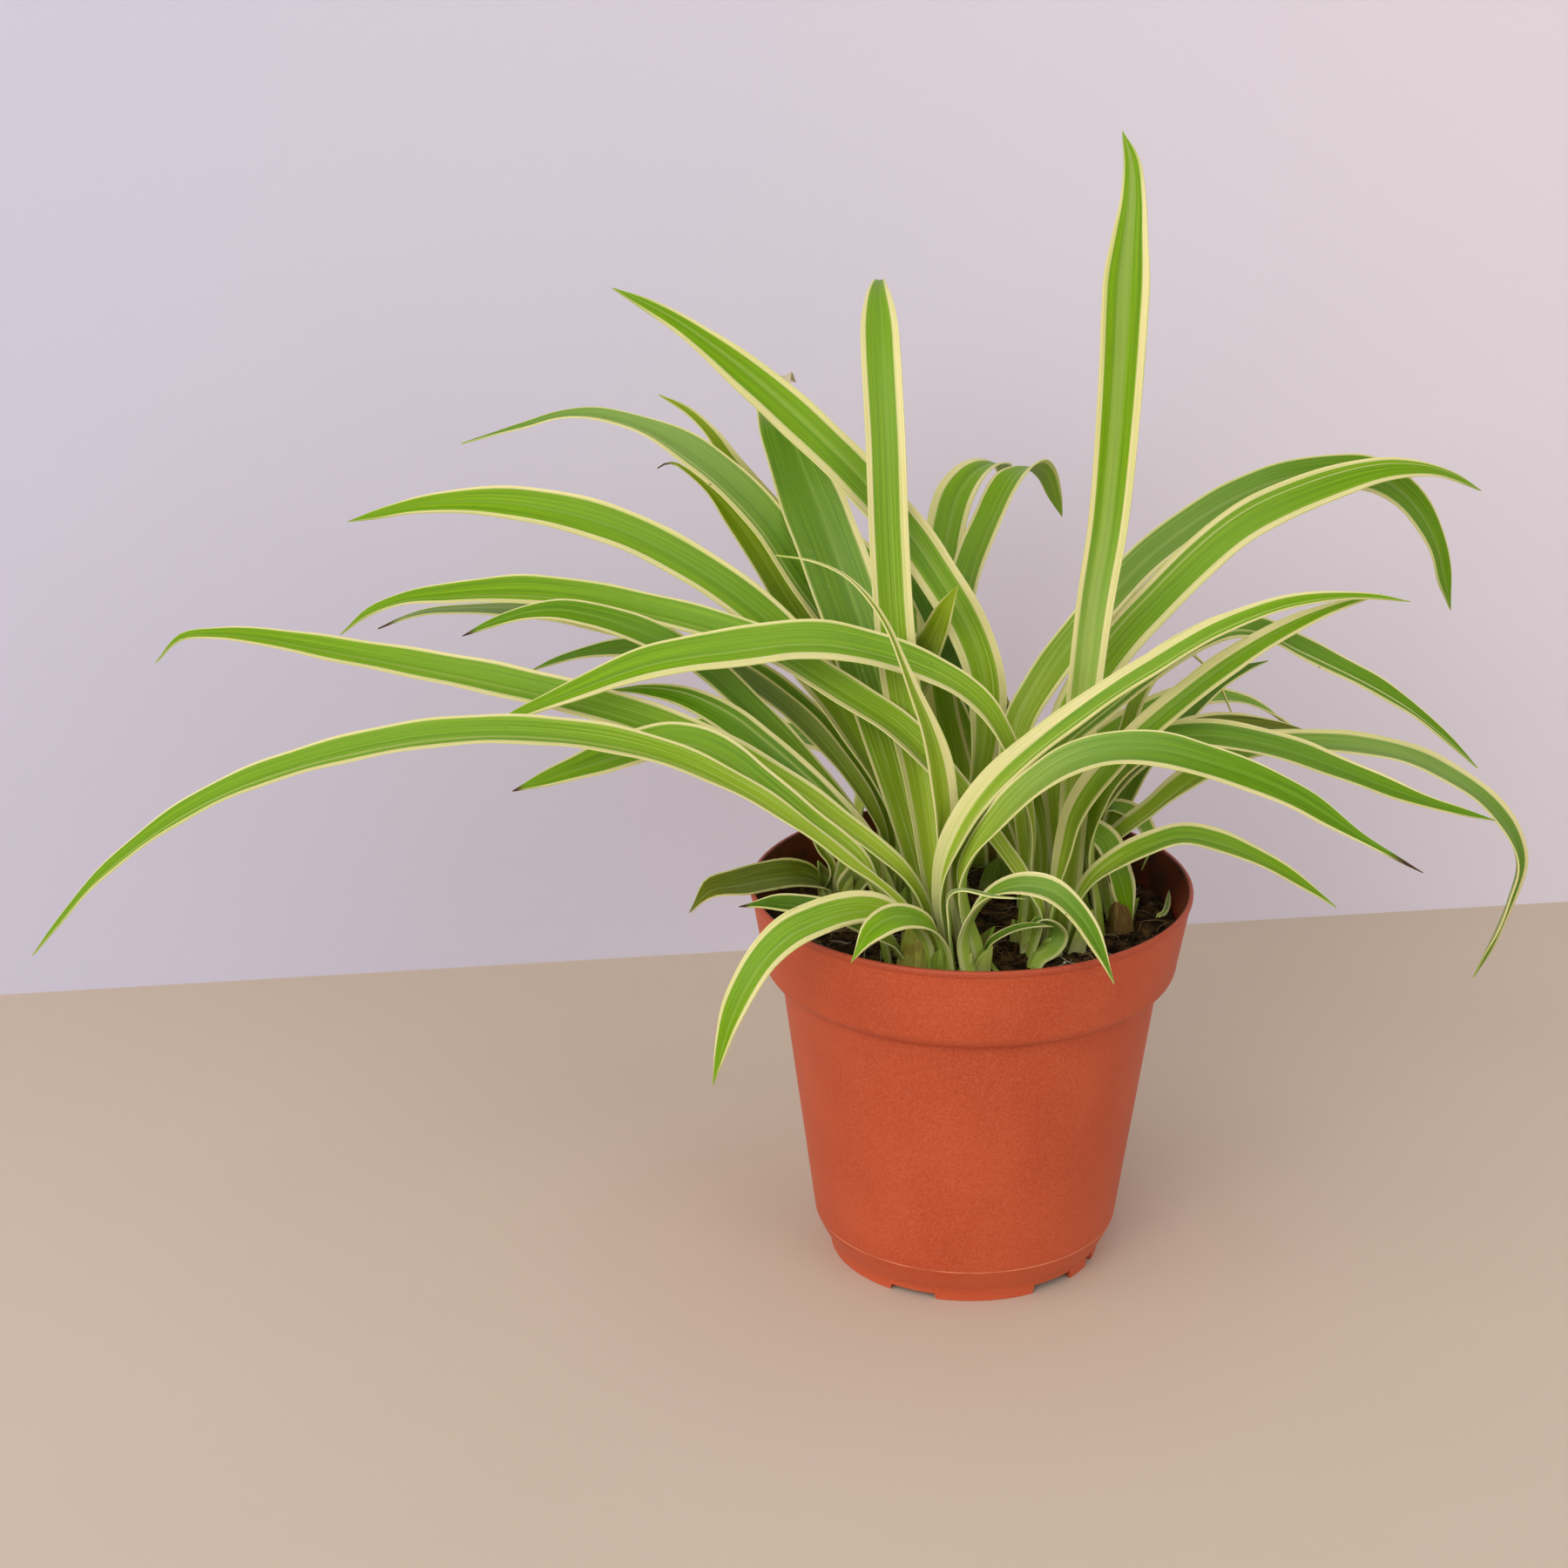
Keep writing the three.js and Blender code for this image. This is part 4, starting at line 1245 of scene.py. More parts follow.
@dataclass
class Soil:
    """The peat root ball with its crumbs, fibres and root hairs."""

    inside: list[Pair]
    node: str = "soil"
    gap: float = 0.35 * MM
    sides: int = 144
    rings: int = 56
    level_drop: float = 0.7 * MM
    lump: float = 1.1 * MM
    broad_scale: float = 70
    fine_scale: float = 210
    edge_width: float = 6 * MM
    edge_rise: float = 1.2 * MM
    smooth_angle: float = 50
    crumb_count: int = 620
    pale_count: int = 46
    fibre_count: int = 300
    root_count: int = 60
    seed: int = 7

    def __post_init__(self) -> None:
        """Take the surface's radius and level from the frame."""
        _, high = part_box(self.node)
        self.level = high.z - self.level_drop
        below = [corner for corner in self.inside if corner[1] < self.level]
        above = self.inside[len(below)]
        share = (self.level - below[-1][1]) / (above[1] - below[-1][1])
        edge = below[-1][0] + share * (above[0] - below[-1][0])
        self.radius = edge - 2 * self.gap
        self.side = [(radius - self.gap, height + self.gap) for radius, height in below]
        self.side.append((self.radius, self.level))
        self.random = random.Random(self.seed)

    def surface(self, x: float, y: float) -> float:
        """Return the height of the rough soil surface at a place.

        Args:
            x: The place along the frame's X.
            y: The place along the frame's Y.

        Returns:
            The height, with broad and fine lumps and a raised edge along the wall.
        """
        broad = noise.noise(Vector((x * self.broad_scale, y * self.broad_scale, 1.3)))
        fine_place = Vector((x * self.fine_scale, y * self.fine_scale, 4.1))
        fine = noise.turbulence(fine_place, 4, False) - 0.45
        edge = smoothstep(self.radius - self.edge_width, self.radius, math.hypot(x, y))
        return self.level + self.lump * (0.9 * broad + 1.1 * fine) + self.edge_rise * float(edge)

    def ball(self) -> Piece:
        """Make the closed root ball with its rough top.

        Returns:
            The root ball.
        """
        top = [(self.radius * ring / self.rings, self.level) for ring in range(self.rings - 1, 0, -1)]
        ball = turned("root_ball", self.sides, self.side + top)
        points = positions(ball.data)
        for i, (x, y, z) in enumerate(points):
            if z > self.level - 0.1 * MM:
                points[i, 2] = self.surface(x, y)
        set_positions(ball.data, points)
        close_up(ball)
        PeatFinish("peat").cover(ball, self.smooth_angle)
        return hand_over(ball, "soil", self.node)

    def place(self, margin: float = 2 * MM) -> Pair:
        """Pick a random place on the soil.

        Args:
            margin: How far from the wall it stays.

        Returns:
            The place's x and y.
        """
        reach = (self.radius - margin) * math.sqrt(self.random.random())
        angle = self.random.uniform(0, 2 * math.pi)
        return reach * math.cos(angle), reach * math.sin(angle)

    def scattered(self, name: str, mesh: bmesh.types.BMesh, finish: Finish) -> Piece:
        """Finish a piece that is many small loose shapes on the soil.

        Args:
            name: The piece's name.
            mesh: The shapes, in one mesh.
            finish: Their finish.

        Returns:
            The piece.
        """
        data = bpy.data.meshes.new(name)
        mesh.to_mesh(data)
        mesh.free()
        piece = bpy.data.objects.new(name, data)
        bpy.context.scene.collection.objects.link(piece)
        close_up(piece)
        bpy.ops.object.shade_smooth()
        data.materials.append(finish.material())
        return hand_over(piece, "soil")

    def lumps(self, name: str, count: int, smallest: float, largest: float, finish: Finish) -> Piece:
        """Scatter small rough lumps over the soil as one piece.

        Args:
            name: The piece's name.
            count: How many lumps there are.
            smallest: The smallest lump's radius.
            largest: The largest lump's radius.
            finish: The lumps' finish.

        Returns:
            The piece.
        """
        deselect_all()
        bpy.ops.mesh.primitive_uv_sphere_add(segments=7, ring_count=5, radius=1)
        ball = bpy.context.object
        start = positions(ball.data)
        faces = [tuple(face.vertices) for face in ball.data.polygons]
        bpy.data.objects.remove(ball)
        mesh = bmesh.new()
        for _ in range(count):
            x, y = self.place()
            size = smallest + (largest - smallest) * self.random.random() ** 2
            spin = self.random.uniform(0, 2 * math.pi)
            flat = self.random.uniform(0.45, 0.9)
            shift = Vector((self.random.uniform(0, 50), self.random.uniform(0, 50), 0))
            height = self.surface(x, y) + size * flat * 0.35
            made = []
            for point in start:
                rough = 1 + 0.55 * noise.noise(Vector(point) * 1.4 + shift)
                px, py, pz = point * size * rough
                made.append(mesh.verts.new((
                    x + px * math.cos(spin) - 0.7 * py * math.sin(spin),
                    y + px * math.sin(spin) + 0.7 * py * math.cos(spin),
                    height + pz * flat)))
            for face in faces:
                mesh.faces.new([made[i] for i in face])
        return self.scattered(name, mesh, finish)

    def strands(self, name: str, count: int, length: Pair, radius: float, finish: Finish) -> Piece:
        """Scatter thin curved strands over the soil as one piece.

        Args:
            name: The piece's name.
            count: How many strands there are.
            length: The shortest and the longest strand.
            radius: A strand's radius at its middle.
            finish: The strands' finish.

        Returns:
            The piece.
        """
        steps = 9
        corners = 5
        furthest = self.radius - 1.5 * MM
        mesh = bmesh.new()
        for _ in range(count):
            x, y = self.place(4 * MM)
            heading = self.random.uniform(0, 2 * math.pi)
            turn = self.random.uniform(-0.35, 0.35)
            stride = self.random.uniform(*length) / steps
            rise = self.random.uniform(0.1, 1.4) * MM
            rings = []
            for i in range(steps + 1):
                share = i / steps
                z = self.surface(x, y) + radius + rise * math.sin(math.pi * share)
                thick = radius * (1 - 0.6 * abs(2 * share - 1))
                ring = []
                for corner in range(corners):
                    angle = corner / corners * 2 * math.pi
                    aside = math.cos(angle) * thick
                    ring.append(mesh.verts.new((x - math.sin(heading) * aside,
                                                y + math.cos(heading) * aside,
                                                z + math.sin(angle) * thick)))
                rings.append(ring)
                x += stride * math.cos(heading)
                y += stride * math.sin(heading)
                heading += turn + self.random.uniform(-0.25, 0.25)
                if math.hypot(x, y) > furthest:
                    break
            if len(rings) == 1:
                bmesh.ops.delete(mesh, geom=rings[0], context="VERTS")
                continue
            for first, second in zip(rings, rings[1:]):
                for corner in range(corners):
                    following = (corner + 1) % corners
                    mesh.faces.new((first[corner], first[following], second[following],
                                    second[corner]))
            mesh.faces.new(rings[0][::-1])
            mesh.faces.new(rings[-1])
        return self.scattered(name, mesh, finish)

    def build(self) -> list[Piece]:
        """Make the soil with all that lies on it.

        Returns:
            The pieces.
        """
        return [
            self.ball(),
            self.lumps("peat_crumbs", self.crumb_count, 0.35 * MM, 1.7 * MM, PeatFinish("peat_crumb")),
            self.lumps("pale_crumbs", self.pale_count, 0.3 * MM, 1.0 * MM,
                       FibreFinish("pale_crumb", (150, 128, 92), (214, 204, 180), 300.0)),
            self.strands("peat_fibres", self.fibre_count, (5 * MM, 17 * MM), 0.1 * MM,
                         FibreFinish("peat_fibre", (92, 64, 36), (164, 130, 84))),
            self.strands("root_hairs", self.root_count, (8 * MM, 24 * MM), 0.1 * MM,
                         FibreFinish("root_hair", (168, 160, 120), (222, 218, 190))),
        ]


# ---- The leaves ----------------------------------------------------------------------------


@dataclass
class BladeSections:
    """The sections of one of the frame's blades, from its base to its pointed tip.

    A section's margins rise above its midrib by its fold times its half width times FOLD_RISE,
    and its centre lies a third of that rise above the midrib.
    """

    centres: np.ndarray
    across: np.ndarray
    upper: np.ndarray
    halves: np.ndarray
    folds: np.ndarray

    @classmethod
    def read(cls, node: str) -> "BladeSections":
        """Read the sections of a node: four corners each, walked from the tip to the base.

        Args:
            node: The frame's node.

        Returns:
            The blade's sections.
        """
        mesh = bmesh.new()
        mesh.from_mesh(frame["nodes"][node].data)
        bmesh.ops.remove_doubles(mesh, verts=mesh.verts, dist=MERGE_DISTANCE)
        rings = cls.rings(mesh)
        mesh.free()
        tip = np.array(rings[0][0])
        sections = [np.array(ring) for ring in reversed(rings[1:])]
        middles = np.array([section.mean(0) for section in sections] + [tip])
        rows: dict[str, list] = {"centres": [], "across": [], "upper": [], "halves": [], "folds": []}
        for section, along in zip(sections, np.gradient(middles, axis=0)):
            along = along / np.linalg.norm(along)
            margins, midribs = cls.pairs(section)
            lift = margins.mean(0) - midribs.mean(0)
            side = margins[1] - margins[0]
            upper = lift - along * (lift @ along) - side * (lift @ side) / (side @ side)
            upper = upper / np.linalg.norm(upper)
            across = np.cross(along, upper)
            half = abs(side @ across) / 2
            found = (midribs.mean(0) + lift / 3, across, upper, half,
                     np.linalg.norm(lift) / (FOLD_RISE * half))
            for row, value in zip(rows.values(), found):
                row.append(value)
        for key, row in rows.items():
            row.append({"centres": tip, "halves": 0.0}.get(key, row[-1]))
        return cls(**{key: np.array(row) for key, row in rows.items()})

    @classmethod
    def rings(cls, mesh: bmesh.types.BMesh) -> list[list[Vector]]:
        """Find the blade's tip and the rings of four corners behind it.

        A corner of the base can have four edges too, but the layers round it lie askew, so the
        start whose layers are the tightest is the tip.

        Args:
            mesh: The blade's merged mesh.

        Returns:
            The tip as a ring of one, and then the rings towards the base.
        """
        starts = (vertex for vertex in mesh.verts if len(vertex.link_edges) == 4)
        found = [layers for layers in map(cls.layers, starts)
                 if all(len(layer) == 4 for layer in layers[1:])]
        return min(found, key=lambda layers: sum(cls.spread(layer) for layer in layers))

    @staticmethod
    def layers(start: bmesh.types.BMVert) -> list[list[Vector]]:
        """Walk from a corner over the mesh, one edge further at a time.

        Args:
            start: The corner to start from.

        Returns:
            The start, and then the corners that lie one edge, two edges and so on away.
        """
        layers = [[start]]
        seen = {start}
        while layers[-1]:
            following = []
            for vertex in layers[-1]:
                for edge in vertex.link_edges:
                    other = edge.other_vert(vertex)
                    if other not in seen:
                        seen.add(other)
                        following.append(other)
            layers.append(following)
        return [[vertex.co.copy() for vertex in layer] for layer in layers[:-1]]

    @staticmethod
    def spread(layer: list[Vector]) -> float:
        """Return how far the corners of a layer lie from their middle, all together."""
        corners = np.array(layer)
        return float(np.linalg.norm(corners - corners.mean(0), axis=1).sum())

    @staticmethod
    def pairs(section: np.ndarray) -> tuple[np.ndarray, np.ndarray]:
        """Split the four corners of a section.

        Args:
            section: The corners.

        Returns:
            The two margins, which are furthest apart, and the two midribs.
        """
        chosen = max(combinations(range(4), 2),
                     key=lambda pair: float(np.linalg.norm(section[pair[0]] - section[pair[1]])))
        rest = [i for i in range(4) if i not in chosen]
        return section[list(chosen)], section[rest]

    def smooth(self, values: np.ndarray, shares: np.ndarray) -> np.ndarray:
        """Read values along the blade, with a smooth curve through the sections.

        Args:
            values: One value or vector for each section.
            shares: The shares of the length at which they are read.

        Returns:
            The values at the shares.
        """
        count = len(values) - 1
        table = values.reshape(count + 1, -1)
        padded = np.vstack([2 * table[0] - table[1], table, 2 * table[-1] - table[-2]])
        spot = np.clip(shares * count, 0, count - 1e-9)
        i = spot.astype(int)
        t = (spot - i)[:, None]
        p0, p1, p2, p3 = (padded[i + k] for k in range(4))
        curve = 0.5 * (2 * p1 + (p2 - p0) * t + (2 * p0 - 5 * p1 + 4 * p2 - p3) * t ** 2
                       + (3 * p1 - p0 - 3 * p2 + p3) * t ** 3)
        return curve.reshape((len(shares),) + values.shape[1:])


@dataclass
class Blade:
    """One blade: a thin channelled strip along its sections, with a gently waved margin."""

    node: str
    finish: Finish
    columns: int = 14
    rows_per_section: int = 4
    thickness: float = 0.42 * MM
    sunk: float = 3.5 * MM
    wave: float = 0.2 * MM
    wave_length: float = 23 * MM
    wave_shift: float = 1.3
    wave_fade: float = 3 * MM
    phase: float = 0.0
    roundness: float = 1.35
    clasp: float = 0.28
    clasp_share: float = 0.13
    blunt: float = 0.0
    slim_tip: float = 0.3
    slim_from: float = 0.78
    slim_to: float = 0.96
    widths: tuple[Pair, ...] = ((0.0, 1.0),)
    hook: Pair = (1.0, 0.0)
    smooth_angle: float = 60

    def sections(self) -> BladeSections:
        """Return the sections that the blade follows, here those of the frame's node."""
        return BladeSections.read(self.node)

    def strip(self) -> Piece:
        """Make the blade as a closed thin strip.

        Returns:
            The blade with its finish.
        """
        sections = self.sections()
        rows = self.rows_per_section * (len(sections.centres) - 1)
        deselect_all()
        bpy.ops.mesh.primitive_grid_add(x_subdivisions=self.columns, y_subdivisions=rows, size=1)
        blade = name_active(self.node + "_blade")
        plan = positions(blade.data)
        set_positions(blade.data, self.shaped(sections, plan[:, 0] + 0.5, plan[:, 1] + 0.5))
        close_up(blade, BLADE_MERGE_DISTANCE, outward=False)
        upper_count = len(blade.data.vertices)
        modify(blade, "SOLIDIFY", thickness=self.thickness, offset=0)
        self.mark_underside(blade, upper_count)
        self.finish.cover(blade, self.smooth_angle)
        return blade

    def build(self) -> Piece:
        """Make the finished blade that stands for the frame's node."""
        return hand_over(self.strip(), frame_slot(self.node), self.node)

    def shaped(self, sections: BladeSections, across: np.ndarray, along: np.ndarray) -> np.ndarray:
        """Return where the points of a flat strip lie on the blade.

        Args:
            sections: The blade's sections.
            across: Each point's share of the width, from the left margin.
            along: Each point's share of the length, from the base.

        Returns:
            The points.
        """
        centres = sections.smooth(sections.centres, along)
        sideways = sections.smooth(sections.across, along)
        upwards = sections.smooth(sections.upper, along)
        sideways /= np.linalg.norm(sideways, axis=1)[:, None]
        upwards /= np.linalg.norm(upwards, axis=1)[:, None]
        clasping = 1 + self.clasp * (1 - smoothstep(0, self.clasp_share, along))
        halves = self.halves(sections, along) * clasping
        folds = sections.smooth(sections.folds, along) * clasping
        side = 2 * across - 1
        lift = folds * halves * FOLD_RISE * (np.abs(side) ** self.roundness - 1 / 3)
        length = np.linalg.norm(np.diff(sections.centres, axis=0), axis=1).sum()
        turns = along * length / self.wave_length
        ripple = np.sin(turns * 2 * math.pi + self.phase + side * self.wave_shift)
        lift += self.wave * ripple * side ** 2 * np.minimum(halves / self.wave_fade, 1)
        points = centres + sideways * (side * halves)[:, None] + upwards * lift[:, None]
        points[:, 2] -= self.sunk * np.clip(1 - along * (len(sections.centres) - 1), 0, 1)
        hook_start, hook_drop = self.hook
        if hook_drop:
            points[:, 2] -= hook_drop * np.clip((along - hook_start) / (1 - hook_start), 0, 1) ** 2
        return points

    def halves(self, sections: BladeSections, along: np.ndarray) -> np.ndarray:
        """Return half the blade's width at shares of its length.

        Args:
            sections: The blade's sections.
            along: The shares of the length, from the base.

        Returns:
            The half widths, with a drawn-out tip, a blunt tip or the leaf's own narrow part.
        """
        widths = np.maximum(sections.smooth(sections.halves, along), 0)
        widths *= 1 - self.slim_tip * smoothstep(self.slim_from, self.slim_to, along)
        widths *= eased(along, self.widths)
        if self.blunt:
            past = np.clip((along - 1 + self.blunt) / self.blunt, 0, 1)
            widths *= np.sqrt(1 - past ** 2)
        return widths

    @staticmethod
    def mark_underside(blade: Piece, upper_count: int) -> None:
        """Mark the vertices of the lower skin, which Solidify adds behind the upper ones.

        Args:
            blade: The blade.
            upper_count: How many vertices the upper skin has.
        """
        mask = blade.data.attributes.new("underside", "FLOAT", "POINT")
        values = np.zeros(len(blade.data.vertices), dtype=np.float32)
        values[upper_count:] = 1.0
        mask.data.foreach_set("value", values)


@dataclass
class Sheath(Blade):
    """The short broad base of a leaf that clasps its crown, or the dry stub of an old one."""

    foot: Triple = (0.0, 0.0, 0.0)
    bearing: float = 0.0
    height: float = 16 * MM
    width: float = 9 * MM
    lean: float = 0.3
    hollow: float = 0.75
    tip_width: float = 0.35
    steps: int = 5
    sunk: float = 0.0

    def sections(self) -> BladeSections:
        """Make sections that rise from the foot and lean out along the bearing.

        Returns:
            The sheath's sections.
        """
        angle = math.radians(self.bearing)
        out = np.array([math.cos(angle), math.sin(angle), 0.0])
        aside = np.array([out[1], -out[0], 0.0])
        shares = np.linspace(0, 1, self.steps + 1)
        centres = np.array([np.array(self.foot) + out * self.lean * self.height * share ** 1.6
                            + np.array([0, 0, self.height * share]) for share in shares])
        ahead = np.gradient(centres, axis=0)
        ahead /= np.linalg.norm(ahead, axis=1)[:, None]
        across = np.tile(aside, (self.steps + 1, 1))
        widths = self.width / 2 * (1 - (1 - self.tip_width) * shares ** 1.5)
        return BladeSections(centres, across, np.cross(across, ahead), widths,
                             np.full(self.steps + 1, self.hollow))

    def build(self) -> Piece:
        """Make the finished sheath, which stands for no node of its own."""
        return hand_over(self.strip(), "leaf_pale")


def frame_slot(node: str) -> str:
    """Return the record's material slot of a node."""
    return next(part["material_slot"] for part in frame["record"]["subparts"]
                if part["node"] == node)


@dataclass
class Plant:
    """All the leaves of the plant."""

    def nodes(self) -> list[str]:
        """Return the names of the frame's blades, in order."""
        return sorted(n for n in frame["nodes"] if n not in ("pot", "soil"))

    def looks(self) -> dict[str, dict]:
        """Return what is known of each leaf: its margins' shares of the width, its green and more.

        Returns:
            The finish's values by node.
        """
        bright, mid, deep, yellow, olive, grey = Tone
        rows = [
            ("leaf_long_low_left", bright, 0.14, 0.07, {"streak_place": 0.33, "streak_strength": 0.4}),
            ("leaf_long_upper_left", bright, 0.13, 0.09, {"streak_place": 0.38}),
            ("leaf_dark_tip_left", deep, 0.1, 0.1, {"brown_tip": 0.05}),
            ("leaf_over_rim_left", bright, 0.17, 0.14, {"edge_marks": 0.4}),
            ("leaf_small_front_left", bright, 0.13, 0.1, {}),
            ("leaf_centre_thin", yellow, 0.08, 0.26, {"margin_tip": 1.3}),
            ("leaf_high_arch_left", bright, 0.14, 0.1, {}),
            ("leaf_thin_behind_left", grey, 0.1, 0.08, {"brown_tip": 0.03}),
            ("leaf_left_broad", mid, 0.1, 0.07, {"brown_tip": 0.018}),
            ("leaf_left_short", mid, 0.12, 0.09, {}),
            ("leaf_front_sweep_left", bright, 0.22, 0.06, {}),
            ("leaf_left_mid", mid, 0.1, 0.13, {"streak_place": 0.7, "streak_strength": 0.4}),
            ("leaf_cut_tip_left", bright, 0.11, 0.08, {"brown_tip": 0.015}),
            ("leaf_top_left", bright, 0.22, 0.15, {"streak_place": 0.6, "streak_strength": 0.2}),
            ("leaf_twisted_left", mid, 0.14, 0.05, {"streak_place": 0.22, "streak_strength": 0.5,
                                                    "sheen": 0.7, "sheen_at": 0.72}),
            ("leaf_thin_high_left", yellow, 0.05, 0.45, {"streak_place": 0.4, "margin_tip": 0.5}),
            ("leaf_curl_tip_left", yellow, 0.06, 0.16, {"brown_tip": 0.03}),
            ("leaf_left_arch", bright, 0.15, 0.06, {"streak_place": 0.3, "streak_strength": 0.3}),
            ("leaf_short_pointed", yellow, 0.08, 0.08, {"streak_strength": 0.3, "pale_base": 0.9}),
            ("leaf_upright_blunt", bright, 0.14, 0.2, {"streak_strength": 0.05}),
            # leaf_tallest's wide pale streak is a painted sheen along its channel
            ("leaf_tallest", bright, 0.12, 0.19, {"streak_place": 0.45, "streak_width": 0.2,
                                                  "streak_strength": 0.3, "sheen": 0.7,
                                                  "sheen_at": 0.3}),
            ("leaf_wide_dark", mid, 0.03, 0.1, {"scuffs": 0.7, "streak_strength": 0.1, "sheen": 0.3,
                                               "brown_tip": 0.2, "dry": (208, 192, 152)}),
            ("leaf_back_arch_left", bright, 0.2, 0.14, {}),
            ("leaf_back_arch_right", bright, 0.08, 0.16, {}),
            ("leaf_back_dark", deep, 0.05, 0.05, {"streak_strength": 0.1}),
            ("leaf_back_left", bright, 0.13, 0.16, {}),
            ("leaf_cream_half_right", bright, 0.4, 0.14, {"streak_place": 0.74, "streak_width": 0.04,
                                                         "streak_strength": 0.7, "margin_tip": 0.4}),
            ("leaf_under_cream_right", mid, 0.07, 0.12, {"streak_place": 0.62, "streak_strength": 0.9}),
            ("leaf_brown_tip_right", mid, 0.04, 0.14, {"brown_tip": 0.055, "streak_strength": 0.05,
                                                       "sheen": 0.45, "sheen_at": 0.38}),
            ("leaf_front_arch_right", mid, 0.13, 0.16, {"sheen": 0.4}),
            ("leaf_back_right_fall", mid, 0.05, 0.12, {"sheen": 0.45, "sheen_at": 0.5}),
            ("leaf_back_right_long", bright, 0.13, 0.18, {"streak_place": 0.24, "streak_width": 0.03,
                                                          "streak_strength": 0.6}),
            ("leaf_right_steep", bright, 0.26, 0.12, {"margin_tip": 1.1}),
            ("leaf_small_pointed", mid, 0.12, 0.12, {}),
            ("leaf_green_down_right", bright, 0.13, 0.13, {"edge_marks": 0.9, "pale_base": 0.1}),
            ("leaf_low_right", bright, 0.13, 0.08, {}),
            ("leaf_far_right_drop", mid, 0.12, 0.12, {"margin_tip": 1.2, "sheen": 0.6}),
            ("leaf_right_arch", mid, 0.12, 0.07, {}),
            ("leaf_right_behind", olive, 0.12, 0.1, {}),
            ("leaf_right_small", deep, 0.08, 0.06, {}),
            ("leaf_right_into_pot", bright, 0.13, 0.13, {"edge_marks": 0.6, "pale_base": 0.1}),
            ("leaf_right_wisp", yellow, 0.06, 0.2, {}),
            ("leaf_olive_left", olive, 0.05, 0.05, {"edge_marks": 0.5, "pale_base": 0.1}),
            ("plantlet_blade_tall", yellow, 0.2, 0.22, {"pale_base": 0.6}),
            ("plantlet_blade_thin", yellow, 0.18, 0.2, {"pale_base": 0.5}),
            ("plantlet_blade_right", yellow, 0.16, 0.2, {"pale_base": 0.6}),
            ("plantlet_blade_wide", olive, 0.09, 0.08, {}),
            ("sprout_right", grey, 0.12, 0.12, {}),
            ("leaf_soil_arch", mid, 0.12, 0.05, {"pale_base": 0.1}),
            ("tendril", grey, 0.05, 0.05, {"pale_base": 0.1}),
        ]
        return {node: {"tone": tone, "left": left, "right": right, **more}
                for node, tone, left, right, more in rows}

    def shapes(self) -> dict[str, dict]:
        """Return what is known of the leaves that have a shape of their own.

        Returns:
            The blade's values by node.
        """
        return {
            "leaf_upright_blunt": {"widths": ((0.66, 1.0), (0.79, 0.34)), "slim_tip": 0.0},
            "leaf_wide_dark": {"wave": 0.5 * MM},
            "leaf_front_sweep_left": {"widths": ((0.0, 0.62), (0.3, 0.64), (0.58, 1.0))},
            "leaf_centre_thin": {"widths": ((0.35, 1.0), (0.66, 0.45), (0.9, 0.4))},
            "leaf_twisted_left": {"widths": ((0.66, 1.0), (0.79, 0.62), (0.93, 0.8))},
            "leaf_brown_tip_right": {"widths": ((0.8, 1.0), (0.95, 0.5))},
            "leaf_far_right_drop": {"widths": ((0.7, 1.0), (0.86, 1.5)), "slim_tip": 0.0},
            "leaf_back_right_fall": {"widths": ((0.7, 1.0), (0.88, 1.25)), "slim_tip": 0.0},
            "leaf_short_pointed": {"widths": ((0.3, 1.0), (0.6, 1.6)), "slim_tip": 0.0},
            "leaf_curl_tip_left": {"hook": (0.95, 4.5 * MM), "widths": ((0.8, 1.0), (0.9, 0.5))},
            "leaf_thin_behind_left": {"hook": (0.9, 2 * MM)},
            "sprout_right": {"widths": ((0.0, 0.6), (1.0, 0.6)), "clasp": 0.0, "wave": 0.0},
        }

    def finish(self, index: int, node: str) -> BladeFinish:
        """Choose one leaf's finish: random values, under what is known of the leaf.

        Args:
            index: The leaf's place in the order of the nodes.
            node: The leaf's node.

        Returns:
            The finish.
        """
        chance = random.Random(index * 31 + 5)
        values = {
            "left": chance.uniform(0.1, 0.18),
            "right": chance.uniform(0.1, 0.18),
            "streak_place": chance.uniform(0.4, 0.6),
            "streak_width": chance.uniform(0.04, 0.08),
            "streak_strength": chance.uniform(0.0, 0.2),
            "tone": chance.choice([Tone.BRIGHT, Tone.MID]),
            "seed": float(index),
        }
        values.update(self.looks().get(node, {}))
        return BladeFinish(node, **values)

    def build(self) -> list[Piece]:
        """Make every leaf.

        Returns:
            The leaves.
        """
        shapes = self.shapes()
        return [Blade(node, self.finish(index, node), phase=2.1 * index,
                      **shapes.get(node, {})).build()
                for index, node in enumerate(self.nodes())]


